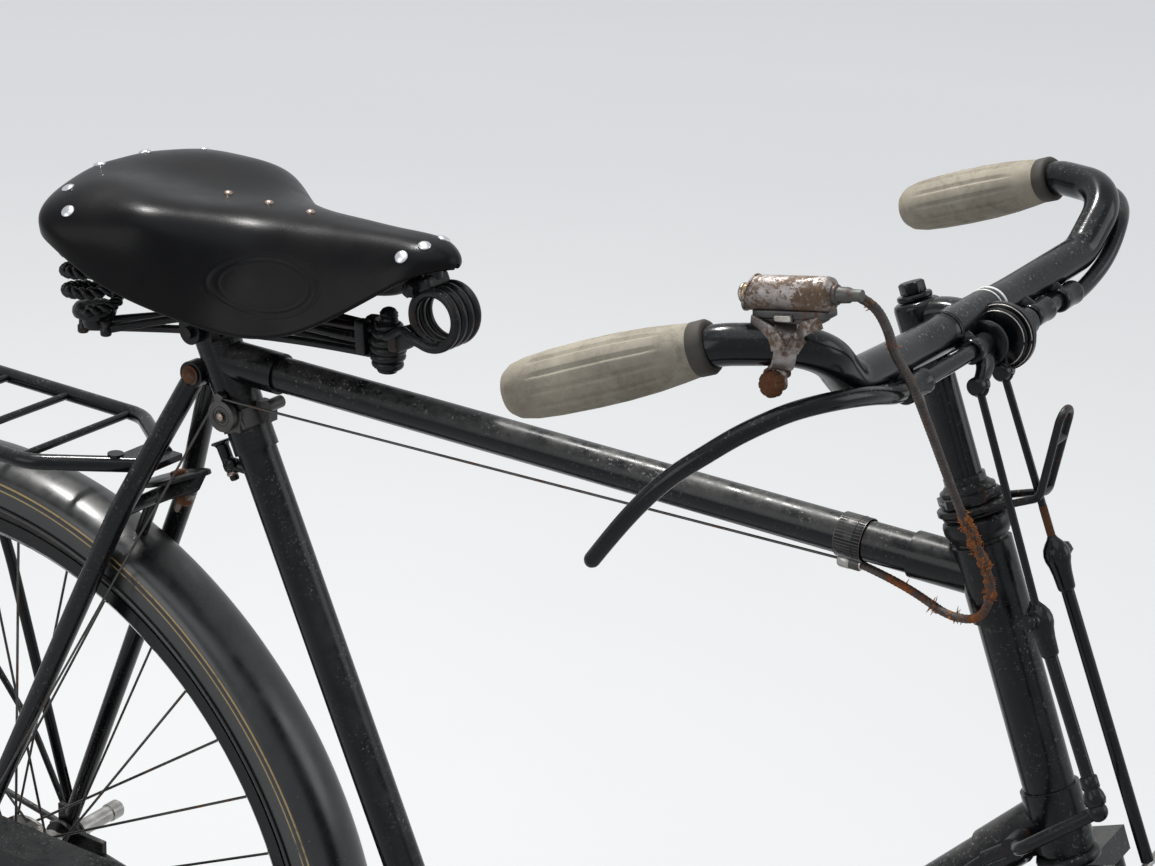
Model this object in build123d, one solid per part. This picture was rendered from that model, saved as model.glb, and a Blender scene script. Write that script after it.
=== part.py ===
from build123d import *
import math
import os

# Roadster bicycle with rod brakes, hub gear, chaincase and carrier.
# Millimetres. +X is forward, +Y is the rider's left, +Z is up.
# Sizes are laid out from the bottom bracket centre. Each piece is moved at the end,
# so that the rider's seat point on the saddle becomes the origin.

os.makedirs("parts", exist_ok=True)

# main sizes
SEAT_POINT = Vector(-260, 0, 676)
SEAT_ANGLE = math.radians(64.3)
HEAD_ANGLE = math.radians(67.0)
TOP_TUBE_Z = 554
HEAD_X = 325
SEAT_TUBE_R = 14.3
TOP_TUBE_R = 12.7
DOWN_TUBE_R = 14.3
HEAD_TUBE_R = 15.9
DOWN_TUBE_ANGLE = math.radians(47.2)

# wheels
REAR_AXLE = Vector(-497, 0, 54)
FRONT_AXLE = Vector(624, 0, 54)
RIM_OUTER_R = 325
RIM_DEPTH = 16
RIM_INNER_R = RIM_OUTER_R - RIM_DEPTH
BEAD_R = RIM_OUTER_R - RIM_DEPTH / 2
TYRE_HEIGHT = 30
TYRE_OUTER_R = RIM_OUTER_R + TYRE_HEIGHT
TYRE_HALF = 19.5
SPOKE_R = 1.1

# mudguards
GUARD_GAP = 20
GUARD_R = TYRE_OUTER_R + GUARD_GAP
GUARD_HALF = 29

# fork
FORK_RAKE = 80
BLADE_HALF = 46
BLADE_R = 10.5

# bar and stem
BAR_R = 11.1
BAR_X = 291
BAR_Z = 706
STEM_R = 11.1

# head axis, pointing down and forward, and the way ahead of it
HEAD_DOWN = Vector(math.cos(HEAD_ANGLE), 0, -math.sin(HEAD_ANGLE))
HEAD_AHEAD = Vector(math.sin(HEAD_ANGLE), 0, math.cos(HEAD_ANGLE))
SEAT_UP = Vector(-math.cos(SEAT_ANGLE), 0, math.sin(SEAT_ANGLE))
LEFT = Vector(0, 1, 0)

nodes = {}


def head_at(z, ahead=0, y=0):
    """Point on the steering axis at height z, moved ahead of it and sideways."""
    base = Vector(HEAD_X + (TOP_TUBE_Z - z) / math.tan(HEAD_ANGLE), 0, z)
    return base + HEAD_AHEAD * ahead + LEFT * y


def seat_at(z):
    """Point on the seat tube axis at height z."""
    return SEAT_UP * (z / math.sin(SEAT_ANGLE))


def rod(start, end, radius):
    """Round bar between two points."""
    start = Vector(*start)
    end = Vector(*end)
    run = end - start
    return Solid.make_cylinder(radius, run.length, Plane(origin=start, z_dir=run))


def taper(start, end, first, last):
    """Round bar that tapers from one radius to another."""
    start = Vector(*start)
    end = Vector(*end)
    run = end - start
    return Solid.make_cone(first, last, run.length, Plane(origin=start, z_dir=run))


def pipe(start, end, radius, bore):
    """Round tube between two points."""
    return rod(start, end, radius) - rod(start, end, bore)


def bent(points, radii, radius):
    """Round bar along straight runs joined by arcs."""
    path = FilletPolyline(*[Vector(*p) for p in points], radius=radii)
    disc = Plane(origin=path @ 0, z_dir=path % 0) * Circle(radius)
    return sweep(disc, path=path)


def block(centre, size, along=(1, 0, 0), up=(0, 0, 1)):
    """Box about a centre, with its length along one direction."""
    return Plane(origin=centre, x_dir=along, z_dir=up) * Box(*size)


def ring(centre, table, start=0.0, sweep_deg=360.0):
    """Turned section about a sideways axis. The table holds radius and side offset."""
    a = math.radians(start)
    plane = Plane(origin=centre, x_dir=(math.cos(a), 0, math.sin(a)),
                  z_dir=(-math.sin(a), 0, math.cos(a)))
    face = plane * make_face(Polyline(*table, close=True))
    return revolve(face, Axis(centre, (0, -1, 0)), sweep_deg)


def disc(centre, radius, width, y):
    """Round plate across the bicycle, centred at side offset y."""
    c = Vector(centre.X, y - width / 2, centre.Z)
    return rod(c, c + LEFT * width, radius)


def save(name, *pieces):
    """Keep the solids of one node."""
    solids = []
    for piece in pieces:
        solids.extend(piece.solids())
    nodes[name] = solids


def turned(start, direction, table):
    """Turned solid about an axis. The table holds distance along it and radius."""
    direction = Vector(*direction).normalized()
    side = Vector(0, 0, 1) if abs(direction.Z) < 0.9 else Vector(1, 0, 0)
    normal = direction.cross(side)
    plane = Plane(origin=start, x_dir=direction, z_dir=normal)
    points = [(table[0][0], 0)] + list(table) + [(table[-1][0], 0)]
    face = plane * make_face(Polyline(*points, close=True))
    return revolve(face, Axis(start, direction), 360)


# frame tubes and lugs
head_top = head_at(577)
head_low = head_at(393)
head_tube = rod(head_top, head_low, HEAD_TUBE_R)
upper_lug = rod(head_at(574), head_at(531), HEAD_TUBE_R + 2.2)
upper_lug += rod((HEAD_X - 4, 0, TOP_TUBE_Z), (HEAD_X - 50, 0, TOP_TUBE_Z), TOP_TUBE_R + 2.0)
down_dir = Vector(math.cos(DOWN_TUBE_ANGLE), 0, math.sin(DOWN_TUBE_ANGLE))
down_under = Vector(math.sin(DOWN_TUBE_ANGLE), 0, -math.cos(DOWN_TUBE_ANGLE))
down_meet = down_dir * 565
lower_lug = rod(head_at(431), head_at(396), HEAD_TUBE_R + 2.2)
lower_lug += rod(down_meet - down_dir * 4, down_meet - down_dir * 56, DOWN_TUBE_R + 2.0)
head = head_tube + upper_lug + lower_lug
head -= rod(head_at(600), head_at(380), 13.5)
head -= rod(head_at(393), head_at(370), 26)
head -= rod((HEAD_X - 20, 0, TOP_TUBE_Z), (HEAD_X - 60, 0, TOP_TUBE_Z), TOP_TUBE_R)
head -= rod(down_meet - down_dir * 26, down_meet - down_dir * 60, DOWN_TUBE_R)

seat_top_z = 577
seat_tube = rod(seat_at(20), seat_at(seat_top_z), SEAT_TUBE_R)
seat_lug = rod(seat_at(492), seat_at(seat_top_z), SEAT_TUBE_R + 2.0)
seat_x = seat_at(TOP_TUBE_Z).X
seat_lug += rod((seat_x, 0, TOP_TUBE_Z), (seat_x + 52, 0, TOP_TUBE_Z), TOP_TUBE_R + 2.0)
lug_eye = Vector(-285, 0, 541)
seat_lug += rod(lug_eye - LEFT * 5, lug_eye + LEFT * 5, 9)
seat_lug += block(lug_eye + Vector(9, 0, 0), (18, 10, 18))
seat = seat_tube + seat_lug
seat -= rod((seat_x + 18, 0, TOP_TUBE_Z), (seat_x + 60, 0, TOP_TUBE_Z), TOP_TUBE_R)
seat -= rod(seat_at(440), seat_at(600), 12.9)
seat -= rod(lug_eye - LEFT * 12, lug_eye + LEFT * 12, 4.1)

top_tube = rod((seat_x + 18, 0, TOP_TUBE_Z), (HEAD_X - 20, 0, TOP_TUBE_Z), TOP_TUBE_R)
seat_pin = rod(seat_at(450), seat_at(seat_top_z + 1), 12.7) - top_tube
down_tube = rod(down_dir * 22, down_meet - down_dir * 26, DOWN_TUBE_R)
down_tube -= rod(head_at(393), head_at(370), 26)

# chain stays with fork ends
STAY_Y = 60
STAY_R = 9.3
FORK_END_T = 5
stays = []
for side in (-1, 1):
    front = Vector(-21, 24.5 * side, 2.3)
    knee = Vector(-100, 30.5 * side, 11)
    flare = Vector(-160, 37.5 * side, 17.5)
    back = Vector(-458, STAY_Y * side, 49.8)
    middle = flare + (back - flare) * 0.45
    tube = bent([front, knee, flare, middle], [150, 300], STAY_R)
    tube = tube.fuse(taper(middle, back, STAY_R, 7.5))
    plate = block((-479, STAY_Y * side, 54), (60, FORK_END_T, 28))
    plate += disc(REAR_AXLE, 17, FORK_END_T, STAY_Y * side)
    plate -= disc(REAR_AXLE, 5, 12, STAY_Y * side)
    stays.append(tube + plate)
BRIDGE_ANGLE = math.radians(-6.2)
bridge_at = REAR_AXLE + Vector(math.cos(BRIDGE_ANGLE), 0, math.sin(BRIDGE_ANGLE)) * (GUARD_R + 6.3)
bridge = rod(bridge_at - LEFT * 33, bridge_at + LEFT * 33, 6)
chain_stays = stays[0] + bridge + stays[1]

BRACKET_HALF = 34
shell = rod((0, -BRACKET_HALF, 0), (0, BRACKET_HALF, 0), 20.5)
shell += rod((0, 0, 0), down_dir * 58, DOWN_TUBE_R + 2)
shell += rod((0, 0, 0), seat_at(52), SEAT_TUBE_R + 2)
for side in (-1, 1):
    root = Vector(0, 22.9 * side, 0)
    shell += rod(root, root + Vector(-44, 3.3 * side, 4.8), 11.5)
shell -= rod(down_dir * 22, down_dir * 80, DOWN_TUBE_R)
shell -= rod(seat_at(20), seat_at(80), SEAT_TUBE_R)
shell -= rod((0, -60, 0), (0, 60, 0), 8.8)
shell -= chain_stays

# seat stays, bolted to the ear of the seat lug
STAY_TOP = Vector(-285, 0, 541)
SEAT_STAY_R = 8.2
EAR_HALF = 5
EYE_OUT = 15.5
seat_bolt = rod(STAY_TOP - LEFT * (EYE_OUT + 3), STAY_TOP + LEFT * (EYE_OUT + 3), 4)
for side in (-1, 1):
    seat_bolt += rod(STAY_TOP + LEFT * (EYE_OUT + 0.2) * side, STAY_TOP + LEFT * (EYE_OUT + 3.2) * side, 7)
seat_stays = []
for side in (-1, 1):
    stay = rod(STAY_TOP + LEFT * (EAR_HALF + 0.2) * side, STAY_TOP + LEFT * EYE_OUT * side, 10)
    top = Vector(-287, 10.5 * side, 536)
    knee = Vector(-333, 38.5 * side, 432)
    foot = Vector(-489, 65.1 * side, 80)
    mid = knee + (foot - knee) * 0.25
    stay += bent([top, knee, mid], [200], SEAT_STAY_R)
    stay += taper(mid, foot, SEAT_STAY_R, 6.5)
    stay += block((-494, 65.1 * side, 68), (20, 4, 34))
    stay += disc(REAR_AXLE, 13, 4, 65.1 * side)
    stay -= disc(REAR_AXLE, 5, 12, 65.1 * side)
    seat_stays.append(stay - seat_bolt)
BRIDGE_OUT = 34.8109
bridge_way = (Vector(-334, 0, 430) - REAR_AXLE).normalized()
stay_bridge_at = REAR_AXLE + bridge_way * (GUARD_R + BRIDGE_OUT)
stay_bridge = rod(stay_bridge_at - LEFT * 40, stay_bridge_at + LEFT * 40, 5.5)
stay_bridge += rod(stay_bridge_at, stay_bridge_at - bridge_way * 40.98109, 5)
stay_bridge -= disc(REAR_AXLE, GUARD_R + 0.2, 60, 0)
seat_stay_pair = seat_stays[0] + stay_bridge + seat_stays[1]
seat_stay_pair -= seat

cups = [pipe(head_at(577.1), head_at(590), 19.5, 13.2), pipe(head_at(392.9), head_at(386.4), 19.5, 13.2)]

# saddle leather, half sections from nose to cantle
# place along, crest height, then side offset and height of crown, shoulder, flank and hem
SADDLE_SECTIONS = [
    (-67, 675, 5, 674.5, 8, 672.5, 10, 670, 10.5, 668),
    (-84, 681, 11, 680, 19, 675, 23.5, 667, 25, 659),
    (-121, 679, 13, 678, 26, 670, 35, 655, 42, 637),
    (-160, 677, 15, 676, 33, 667, 47, 647, 60, 617),
    (-208, 676, 24, 674.5, 48, 664, 61, 642, 70, 605),
    (-240, 675.5, 36, 676, 66, 664, 75, 640, 76, 611),
    (-270, 676, 46, 681, 78, 673, 88, 655, 89, 624),
    (-305, 679, 52, 686, 88, 674, 99, 658, 98, 636),
    (-337, 683, 50, 686.5, 90, 674, 103, 662, 101, 649),
    (-355, 684, 38, 684, 74, 677, 93, 667, 92, 655),
    (-366, 683, 24, 682.5, 48, 678, 66, 671, 64, 660),
]
LEATHER_T = 5


def saddle_form(inset):
    """Loft through the saddle's sections, or its hollow when inset by the leather."""
    faces = []
    last = len(SADDLE_SECTIONS) - 1
    for k, row in enumerate(SADDLE_SECTIONS):
        x, crest, ya, za, yb, zb, yc, zc, yh, zh = row
        if k == 0:
            x -= inset
        if k == last:
            x += inset
        drop = 2.4 * inset
        half = [(ya - inset * 0.2, za - inset), (yb - inset * 0.8, zb - inset * 0.8),
                (yc - inset, zc - inset * 0.2), (yh - inset, zh - drop)]
        points = [(0, crest - inset)] + half + [(-y, z) for y, z in reversed(half)]
        plane = Plane(origin=(x, 0, 0), x_dir=(0, 1, 0), z_dir=(1, 0, 0))
        faces.append(plane * make_face(Polyline(*points, close=True)))
    return loft(faces, ruled=True)


leather = saddle_form(0) - saddle_form(LEATHER_T)

# saddle undercarriage: six wires from the front bolt to the rear springs
SPRING_X = -333
SPRING_Y = 60
SPRING_R = 23.5
WIRE_R = 3.0
wires = []
wire_table = [(-4.5, 598, 8, 592, -330, 52, 580), (-2, 589, 15.5, 581, -345, 60, 574),
              (2, 606, 23, 596, -316, 68, 580)]
for side in (-1, 1):
    for dx, front_z, mid_y, mid_z, end_x, end_y, end_z in wire_table:
        front = (-128, 4.5 * side, front_z)
        mid = (-250, mid_y * side, mid_z)
        wires.append(bent([front, mid, (end_x, end_y * side, end_z)], [160], WIRE_R))
        wires.append(rod((end_x, end_y * side, end_z), (end_x, end_y * side, 588), WIRE_R))
bobbin = turned((-123, 0, 580), (0, 0, 1), [(0, 7), (0.5, 11), (9, 11), (10, 9), (27, 9), (28, 11), (36, 11), (37, 6)])
rails = bobbin
for wire in wires:
    rails += wire

springs = []
for side in (-1, 1):
    springs.append(pipe((SPRING_X, SPRING_Y * side, 588), (SPRING_X, SPRING_Y * side, 640), SPRING_R, 17))
cantle = bent([(SPRING_X - 12, -85, 650), (SPRING_X - 22, -60, 655), (SPRING_X - 22, 60, 655),
               (SPRING_X - 12, 85, 650)], [30, 30], 4)
for side in (-1, 1):
    cantle += rod((SPRING_X, SPRING_Y * side, 640.2), (SPRING_X, SPRING_Y * side, 645), SPRING_R)
    cantle += rod((SPRING_X - 6, SPRING_Y * side, 643), (SPRING_X - 22, SPRING_Y * side, 655), 4)
nose_spring = pipe((-78, -16, 627), (-78, 16, 627), 22, 15)
nose_spring += rod((-80, -8, 645), (-80, -8, 666), WIRE_R)
nose_spring += rod((-80, 8, 645), (-80, 8, 666), WIRE_R)
nose_spring += rod((-94, -10, 619), (-126, -6, 604), WIRE_R)
nose_spring += rod((-94, 10, 619), (-126, 6, 604), WIRE_R)
clip = block((-268, 0, 586), (30, 60, 20))
clip += rod((-268, -36, 582), (-268, 36, 582), 9)
clip += rod((-268, -40, 582), (-268, 40, 582), 4.5)


# wheels
def wheel(name, axle, spoke_count, hole_r, flange_y):
    """Tyre, rim and spokes of one wheel."""
    tyre = [(BEAD_R, -11), (BEAD_R + 6, -13.5)]
    for k in range(13):
        a = math.radians(-68 + k * 136 / 12)
        tyre.append((TYRE_OUTER_R - 19 + math.cos(a) * 19, math.sin(a) * TYRE_HALF * 1.03))
    tyre += [(BEAD_R + 6, 13.5), (BEAD_R, 11)]
    save(name + "_tyre", ring(axle, tyre))
    brow, hollow, floor = RIM_INNER_R + 5, RIM_INNER_R + 3, RIM_INNER_R + 2.3
    section = [(RIM_OUTER_R, -17), (brow, -17), (RIM_INNER_R, -13), (RIM_INNER_R, -8), (hollow, -5),
               (hollow, 5), (RIM_INNER_R, 8), (RIM_INNER_R, 13), (brow, 17), (RIM_OUTER_R, 17),
               (RIM_OUTER_R, 15), (brow + 1, 15), (floor, 12), (floor, 9), (brow, 6),
               (brow, -6), (floor, -9), (floor, -12), (brow + 1, -15), (RIM_OUTER_R, -15)]
    save(name + "_rim", ring(axle, section))
    half = spoke_count // 2
    pieces = []
    for side in (-1, 1):
        for k in range(half):
            lean = 1 if k % 2 == 0 else -1
            rim_a = 2 * math.pi * (k + 0.25 * side) / half
            hub_a = rim_a + lean * 2 * math.pi * 2.35 / half
            hub_y = (flange_y + (3.6 if lean > 0 else -2.5)) * side
            start = axle + Vector(math.cos(hub_a) * hole_r, hub_y, math.sin(hub_a) * hole_r)
            nipple_r = hollow - 0.1
            end = axle + Vector(math.cos(rim_a) * nipple_r, 3.2 * side, math.sin(rim_a) * nipple_r)
            run = end - start
            section = Plane(origin=start, z_dir=run) * RegularPolygon(SPOKE_R, 6)
            pieces.append(extrude(section, run.length))
    save(name + "_spokes", *pieces)


wheel("rear_wheel", REAR_AXLE, 40, 35, 22)
wheel("front_wheel", FRONT_AXLE, 32, 19.5, 30)

CHAIN_Y = -46
rear_hub = [(5.6, -50.2), (13, -50.2), (13, -47.6), (17, -47.6), (17, -36), (28, -34), (31.5, -28),
            (31.5, -23.4), (38, -23.4), (38, -20.6), (32, -20.6), (27, 0), (22, 12), (21, 18),
            (30, 20.6), (38, 20.6), (38, 23.4), (26, 23.4), (22, 32), (13, 42), (13, 50.2), (5.6, 50.2)]
save("rear_wheel_hub", ring(REAR_AXLE, rear_hub))
sprocket = disc(REAR_AXLE, 38, 3, CHAIN_Y) - disc(REAR_AXLE, 17, 10, CHAIN_Y)
save("rear_wheel_sprocket", sprocket)
front_hub = [(5.2, -40), (11, -40), (14, -35), (16, -31.4), (22, -31.4), (22, -28.6), (15, -28.6), (13, -24),
             (13, 24), (15, 28.6), (22, 28.6), (22, 31.4), (16, 31.4), (14, 35), (11, 40), (5.2, 40)]
save("front_wheel_hub", ring(FRONT_AXLE, front_hub))

rear_spindle = rod(REAR_AXLE - LEFT * 85, REAR_AXLE + LEFT * 85, 4.8)
for side in (-1, 1):
    rear_spindle += rod(REAR_AXLE + LEFT * 75.6 * side, REAR_AXLE + LEFT * 84 * side, 9)
    rear_spindle += rod(REAR_AXLE + LEFT * 50.6 * side, REAR_AXLE + LEFT * 57.4 * side, 8)
step = turned(REAR_AXLE + LEFT * 85.1, (0, 1, 0), [(0, 7), (30, 7), (31, 8), (42, 8), (44, 6.5)])

# mudguards
def guard(axle, radius, start, span, half):
    """Mudguard shell of domed crown and flat sides, as part of a turned ring."""
    wall = 1.6
    outer = [(radius - 36, -half), (radius - 17, -half)]
    inner = [(radius - 36, half - wall), (radius - 17, half - wall)]
    for k in range(1, 8):
        a = math.pi * (k / 8)
        outer.append((radius - 17 + 17 * math.sin(a), -half * math.cos(a)))
        inner.append((radius - 17 + (17 - wall) * math.sin(a), (half - wall) * math.cos(a)))
    outer += [(radius - 17, half), (radius - 36, half)]
    inner += [(radius - 17, -half + wall), (radius - 36, -half + wall)]
    return ring(axle, outer + inner, start, span)


rear_guard = guard(REAR_AXLE, GUARD_R, -8, 216, GUARD_HALF) - chain_stays
EYE_Y = 74.4
guard_stays = []
for side in (-1, 1):
    pair = disc(REAR_AXLE, 13, 2, EYE_Y * side) - disc(REAR_AXLE, 5, 8, EYE_Y * side)
    for angle, dx, dz in ((119, -4, 10), (172, -10, 3)):
        a = math.radians(angle)
        end = REAR_AXLE + Vector(math.cos(a) * (GUARD_R - 28), (GUARD_HALF + 3) * side, math.sin(a) * (GUARD_R - 28))
        start = REAR_AXLE + Vector(dx, EYE_Y * side, dz)
        elbow = REAR_AXLE + Vector(math.cos(a) * 92, 76.5 * side, math.sin(a) * 92)
        arm = bent([start, elbow, end], [100], 2.8)
        pair += arm - rod(REAR_AXLE - LEFT * 95, REAR_AXLE + LEFT * 95, 9.6)
    guard_stays.append(pair)

# carrier
RACK_Z = 459
RACK_Y = 62
RACK_BACK = -720
LEG_Y = 71.9
rack = bent([(-336, -14, RACK_Z), (-402, -RACK_Y, RACK_Z), (RACK_BACK, -RACK_Y, RACK_Z),
             (RACK_BACK, RACK_Y, RACK_Z), (-402, RACK_Y, RACK_Z), (-336, 14, RACK_Z)],
            [36, 30, 30, 36], 6)
for x in (-413, -477, -541, -605, -669):
    rack += rod((x, -RACK_Y, RACK_Z), (x, RACK_Y, RACK_Z), 3.0)
for side in (-1, 1):
    rack += bent([(-606, RACK_Y * side, RACK_Z), (-558, 72 * side, 290), (-502, 75.2 * side, 80)], [400], 4.5)
    leg_eye = block((-498.5, LEG_Y * side, 68), (18, 2.8, 30)) + disc(REAR_AXLE, 12, 2.8, LEG_Y * side)
    rack += leg_eye
    rack -= disc(REAR_AXLE, 5, 8, LEG_Y * side)
    rack -= disc(REAR_AXLE, 60, 4, (LEG_Y + 3.4) * side)
rack += block((-340, 0, RACK_Z), (34, 36, 5))
rack += rod((-352, -22, RACK_Z), (-352, -22, RACK_Z + 7.5), 6)
rack += rod((-352, 22, RACK_Z), (-352, 22, RACK_Z + 7.5), 6)
rack -= seat_stay_pair
clamp = block((-312, 0, 451), (66, 34, 4), along=(0.93, 0, 0.36), up=(-0.36, 0, 0.93))
clamp += rod((-310, 0, 452), (-302, 0, 430), 4)
clamp += block((-304.5, 0, 436), (5, 32, 12), along=(0.93, 0, 0.36), up=(-0.36, 0, 0.93))
clamp -= rack
clamp -= seat_stay_pair

# chaincase, hollow, round the chain run
CASE_Y = -50.5
CASE_HALF = 19.5
CASE_REAR_R = 72
CASE_FRONT_R = 132
CASE_WALL = 1.6


def loop(rear_r, front_r, width, y):
    """Plate of the outline round the sprocket and the chainwheel."""
    rear = disc(REAR_AXLE, rear_r, width, y)
    front = disc(Vector(0, 0, 0), front_r, width, y)
    run = Vector(0, 0, 0) - REAR_AXLE
    base = math.atan2(run.Z, run.X)
    spread = math.acos((rear_r - front_r) / run.length)
    corners = []
    for sign in (1, -1):
        a = base + sign * spread
        corners.append((REAR_AXLE.X + math.cos(a) * rear_r, REAR_AXLE.Z + math.sin(a) * rear_r))
        corners.append((math.cos(a) * front_r, math.sin(a) * front_r))
    quad = [corners[0], corners[1], corners[3], corners[2]]
    plane = Plane(origin=(0, y + width / 2, 0), x_dir=(1, 0, 0), z_dir=(0, -1, 0))
    return rear + front + extrude(plane * make_face(Polyline(*quad, close=True)), width)


case = loop(CASE_REAR_R, CASE_FRONT_R, CASE_HALF * 2, CASE_Y)
case -= loop(CASE_REAR_R - CASE_WALL, CASE_FRONT_R - CASE_WALL, CASE_HALF * 2 - 2 * CASE_WALL, CASE_Y)
case -= disc(Vector(0, 0, 0), 28, 60, CASE_Y)
case -= disc(REAR_AXLE, 60, 6, CASE_Y + CASE_HALF)
case -= disc(REAR_AXLE, 7, 6, CASE_Y - CASE_HALF)
case -= chain_stays
case -= seat_stay_pair
case -= shell

RING_R = 93
chain = loop(38 + 4.5, RING_R + 4.5, 7, CHAIN_Y) - loop(38 + 0.6, RING_R + 0.6, 9, CHAIN_Y)

# cranks
CRANK = 165
CRANK_Y = 86
crank = rod((0, -96, 0), (0, 96, 0), 8.4)
crank += disc(Vector(0, 0, 0), RING_R, 3, CHAIN_Y)
crank += disc(Vector(0, 0, 0), 24, 8, -51)
crank += disc(Vector(0, 0, 0), 15, 26, -64)
for k in range(5):
    a = math.radians(90 + 72 * k)
    hole = Vector(math.cos(a) * 58, 0, math.sin(a) * 58)
    crank -= disc(hole, 22, 30, CHAIN_Y)
for side, turn in ((-1, 0.0), (1, math.pi)):
    tip = Vector(math.cos(turn) * CRANK, CRANK_Y * side, math.sin(turn) * CRANK)
    hub = Vector(0, CRANK_Y * side, 0)
    crank += disc(hub, 15, 20, CRANK_Y * side)
    crank += disc(tip, 11.5, 14, CRANK_Y * side)
    crank += taper(hub, tip, 9, 7)
    crank -= disc(tip, 6.4, 30, CRANK_Y * side)
save("cranks_and_chainwheel", crank)

# pedals
for side, turn, name in ((-1, 0.0, "right"), (1, math.pi, "left")):
    tip = Vector(math.cos(turn) * CRANK, 0, math.sin(turn) * CRANK)
    inner_y = (CRANK_Y + 14) * side
    outer_y = (CRANK_Y + 108) * side
    pedal = rod(tip + LEFT * inner_y, tip + LEFT * outer_y, 9)
    for y in (CRANK_Y + 16, CRANK_Y + 106):
        pedal += block(tip + LEFT * y * side, (64, 3, 26))
    for dx in (-22, 22):
        pedal += rod(tip + Vector(dx, inner_y + 2 * side, 0), tip + Vector(dx, outer_y - 2 * side, 0), 2.5)
    pedal += rod(tip + LEFT * (CRANK_Y - 7.2) * side, tip + LEFT * (CRANK_Y + 15) * side, 6)
    save("pedal_" + name, pedal)
    rubbers = []
    for dx in (-22, 22):
        centre = tip + Vector(dx, (CRANK_Y + 61) * side, 0)
        rubber = block(centre, (20, 86, 26))
        rubber -= rod(centre - LEFT * 50, centre + LEFT * 50, 2.6)
        rubbers.append(rubber)
    save("pedal_rubbers_" + name, *rubbers)

# fork
CROWN_T = 16
crown_top = head_at(385.6)
crown = crown_top + HEAD_DOWN * (CROWN_T / 2)
fork = block(crown, (26, 2 * BLADE_HALF + 18, CROWN_T), along=HEAD_AHEAD, up=-HEAD_DOWN)
fork += rod(crown, head_at(612), 12.7)
fork += rod(crown, crown + HEAD_DOWN * 30, 6) - disc(FRONT_AXLE, GUARD_R + 0.2, 60, 0)
fork += rod(crown, crown_top + HEAD_AHEAD * 31 + HEAD_DOWN * 7 - LEFT * 6, 5.5)
drop = (FRONT_AXLE - crown).dot(HEAD_DOWN)
curve = 215
theta = 2 * math.atan(FORK_RAKE / curve)
end_way = (HEAD_DOWN * math.cos(theta) + HEAD_AHEAD * math.sin(theta)).normalized()
FORK_END_Y = 50
for side in (-1, 1):
    top = crown + LEFT * BLADE_HALF * side
    straight = top + HEAD_DOWN * (drop - curve - 20) + LEFT * 2 * side
    corner = top + HEAD_DOWN * (drop - curve / 2) + LEFT * 3 * side
    tip = FRONT_AXLE + LEFT * FORK_END_Y * side
    low = tip - end_way * 24
    corner = straight + HEAD_DOWN * ((low - straight).dot(HEAD_DOWN) - (low - straight).dot(HEAD_AHEAD) / math.tan(theta))
    corner += LEFT * 1.3 * side
    fork += taper(top, straight, BLADE_R, 8.2)
    turn = math.radians((corner - straight).get_angle(low - corner))
    run = min((corner - straight).length, (low - corner).length)
    fork += bent([straight, corner, low], [0.9 * run / math.tan(turn / 2)], 8.2)
    fork += block(tip - end_way * 14, (34, 16, FORK_END_T), along=end_way, up=LEFT)
    fork += disc(FRONT_AXLE, 11, FORK_END_T, FORK_END_Y * side)
    fork -= disc(FRONT_AXLE, 4.9, 20, FORK_END_Y * side)

front_spindle = rod(FRONT_AXLE - LEFT * 72, FRONT_AXLE + LEFT * 72, 4.6)
for side in (-1, 1):
    front_spindle += rod(FRONT_AXLE + LEFT * 55.2 * side, FRONT_AXLE + LEFT * 63 * side, 8.5)
    front_spindle += rod(FRONT_AXLE + LEFT * 40.4 * side, FRONT_AXLE + LEFT * 47.3 * side, 7)

FRONT_GUARD_R = GUARD_R
front_guard = guard(FRONT_AXLE, FRONT_GUARD_R, 24, 176, 28)
front_stays = []
for side in (-1, 1):
    eye_y = 53.8 * side
    stay = disc(FRONT_AXLE, 12, 2, eye_y) - disc(FRONT_AXLE, 4.9, 8, eye_y)
    a = math.radians(172)
    end = FRONT_AXLE + Vector(math.cos(a) * (FRONT_GUARD_R - 28), 31 * side, math.sin(a) * (FRONT_GUARD_R - 28))
    arm = rod(FRONT_AXLE + Vector(-8, eye_y, 1), end, 2.8) - disc(FRONT_AXLE, 9, 40, eye_y + 20 * side)
    front_stays.append(stay + arm - fork)

# lamp bracket on the headset, forked round the front rod
bracket = pipe(head_at(592.5), head_at(596.5), 21, 12.9)
bracket += bent([head_at(594.5, 12, 15), head_at(594.5, 51, 12), head_at(594.5, 53, -6)], [6], 2.5)
bracket += rod(head_at(594.5, 12, -15), head_at(594.5, 49, -13), 2.5)
plate_low = head_at(594.5, 50, -8)
bracket += block(plate_low + Vector(2, 0, 1), (4, 22, 8), along=(0.97, 0, 0.24), up=(-0.24, 0, 0.97))
plate = block(plate_low + Vector(5.5, 0, 25), (2.5, 19, 58), along=(0.97, 0, -0.24), up=(0.24, 0, 0.97))
for up in (10.5, 34):
    plate -= block(plate_low + Vector(0.3 + up * 0.235, 0, up), (20, 9, 15), along=(0.97, 0, -0.24),
                   up=(0.24, 0, 0.97))
bracket += plate
locknut = pipe(head_at(596.6), head_at(608), 18.5, 12.9)
top_race = pipe(head_at(590.1), head_at(592.4), 18, 12.9)
bracket -= locknut
bracket -= top_race

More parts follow.
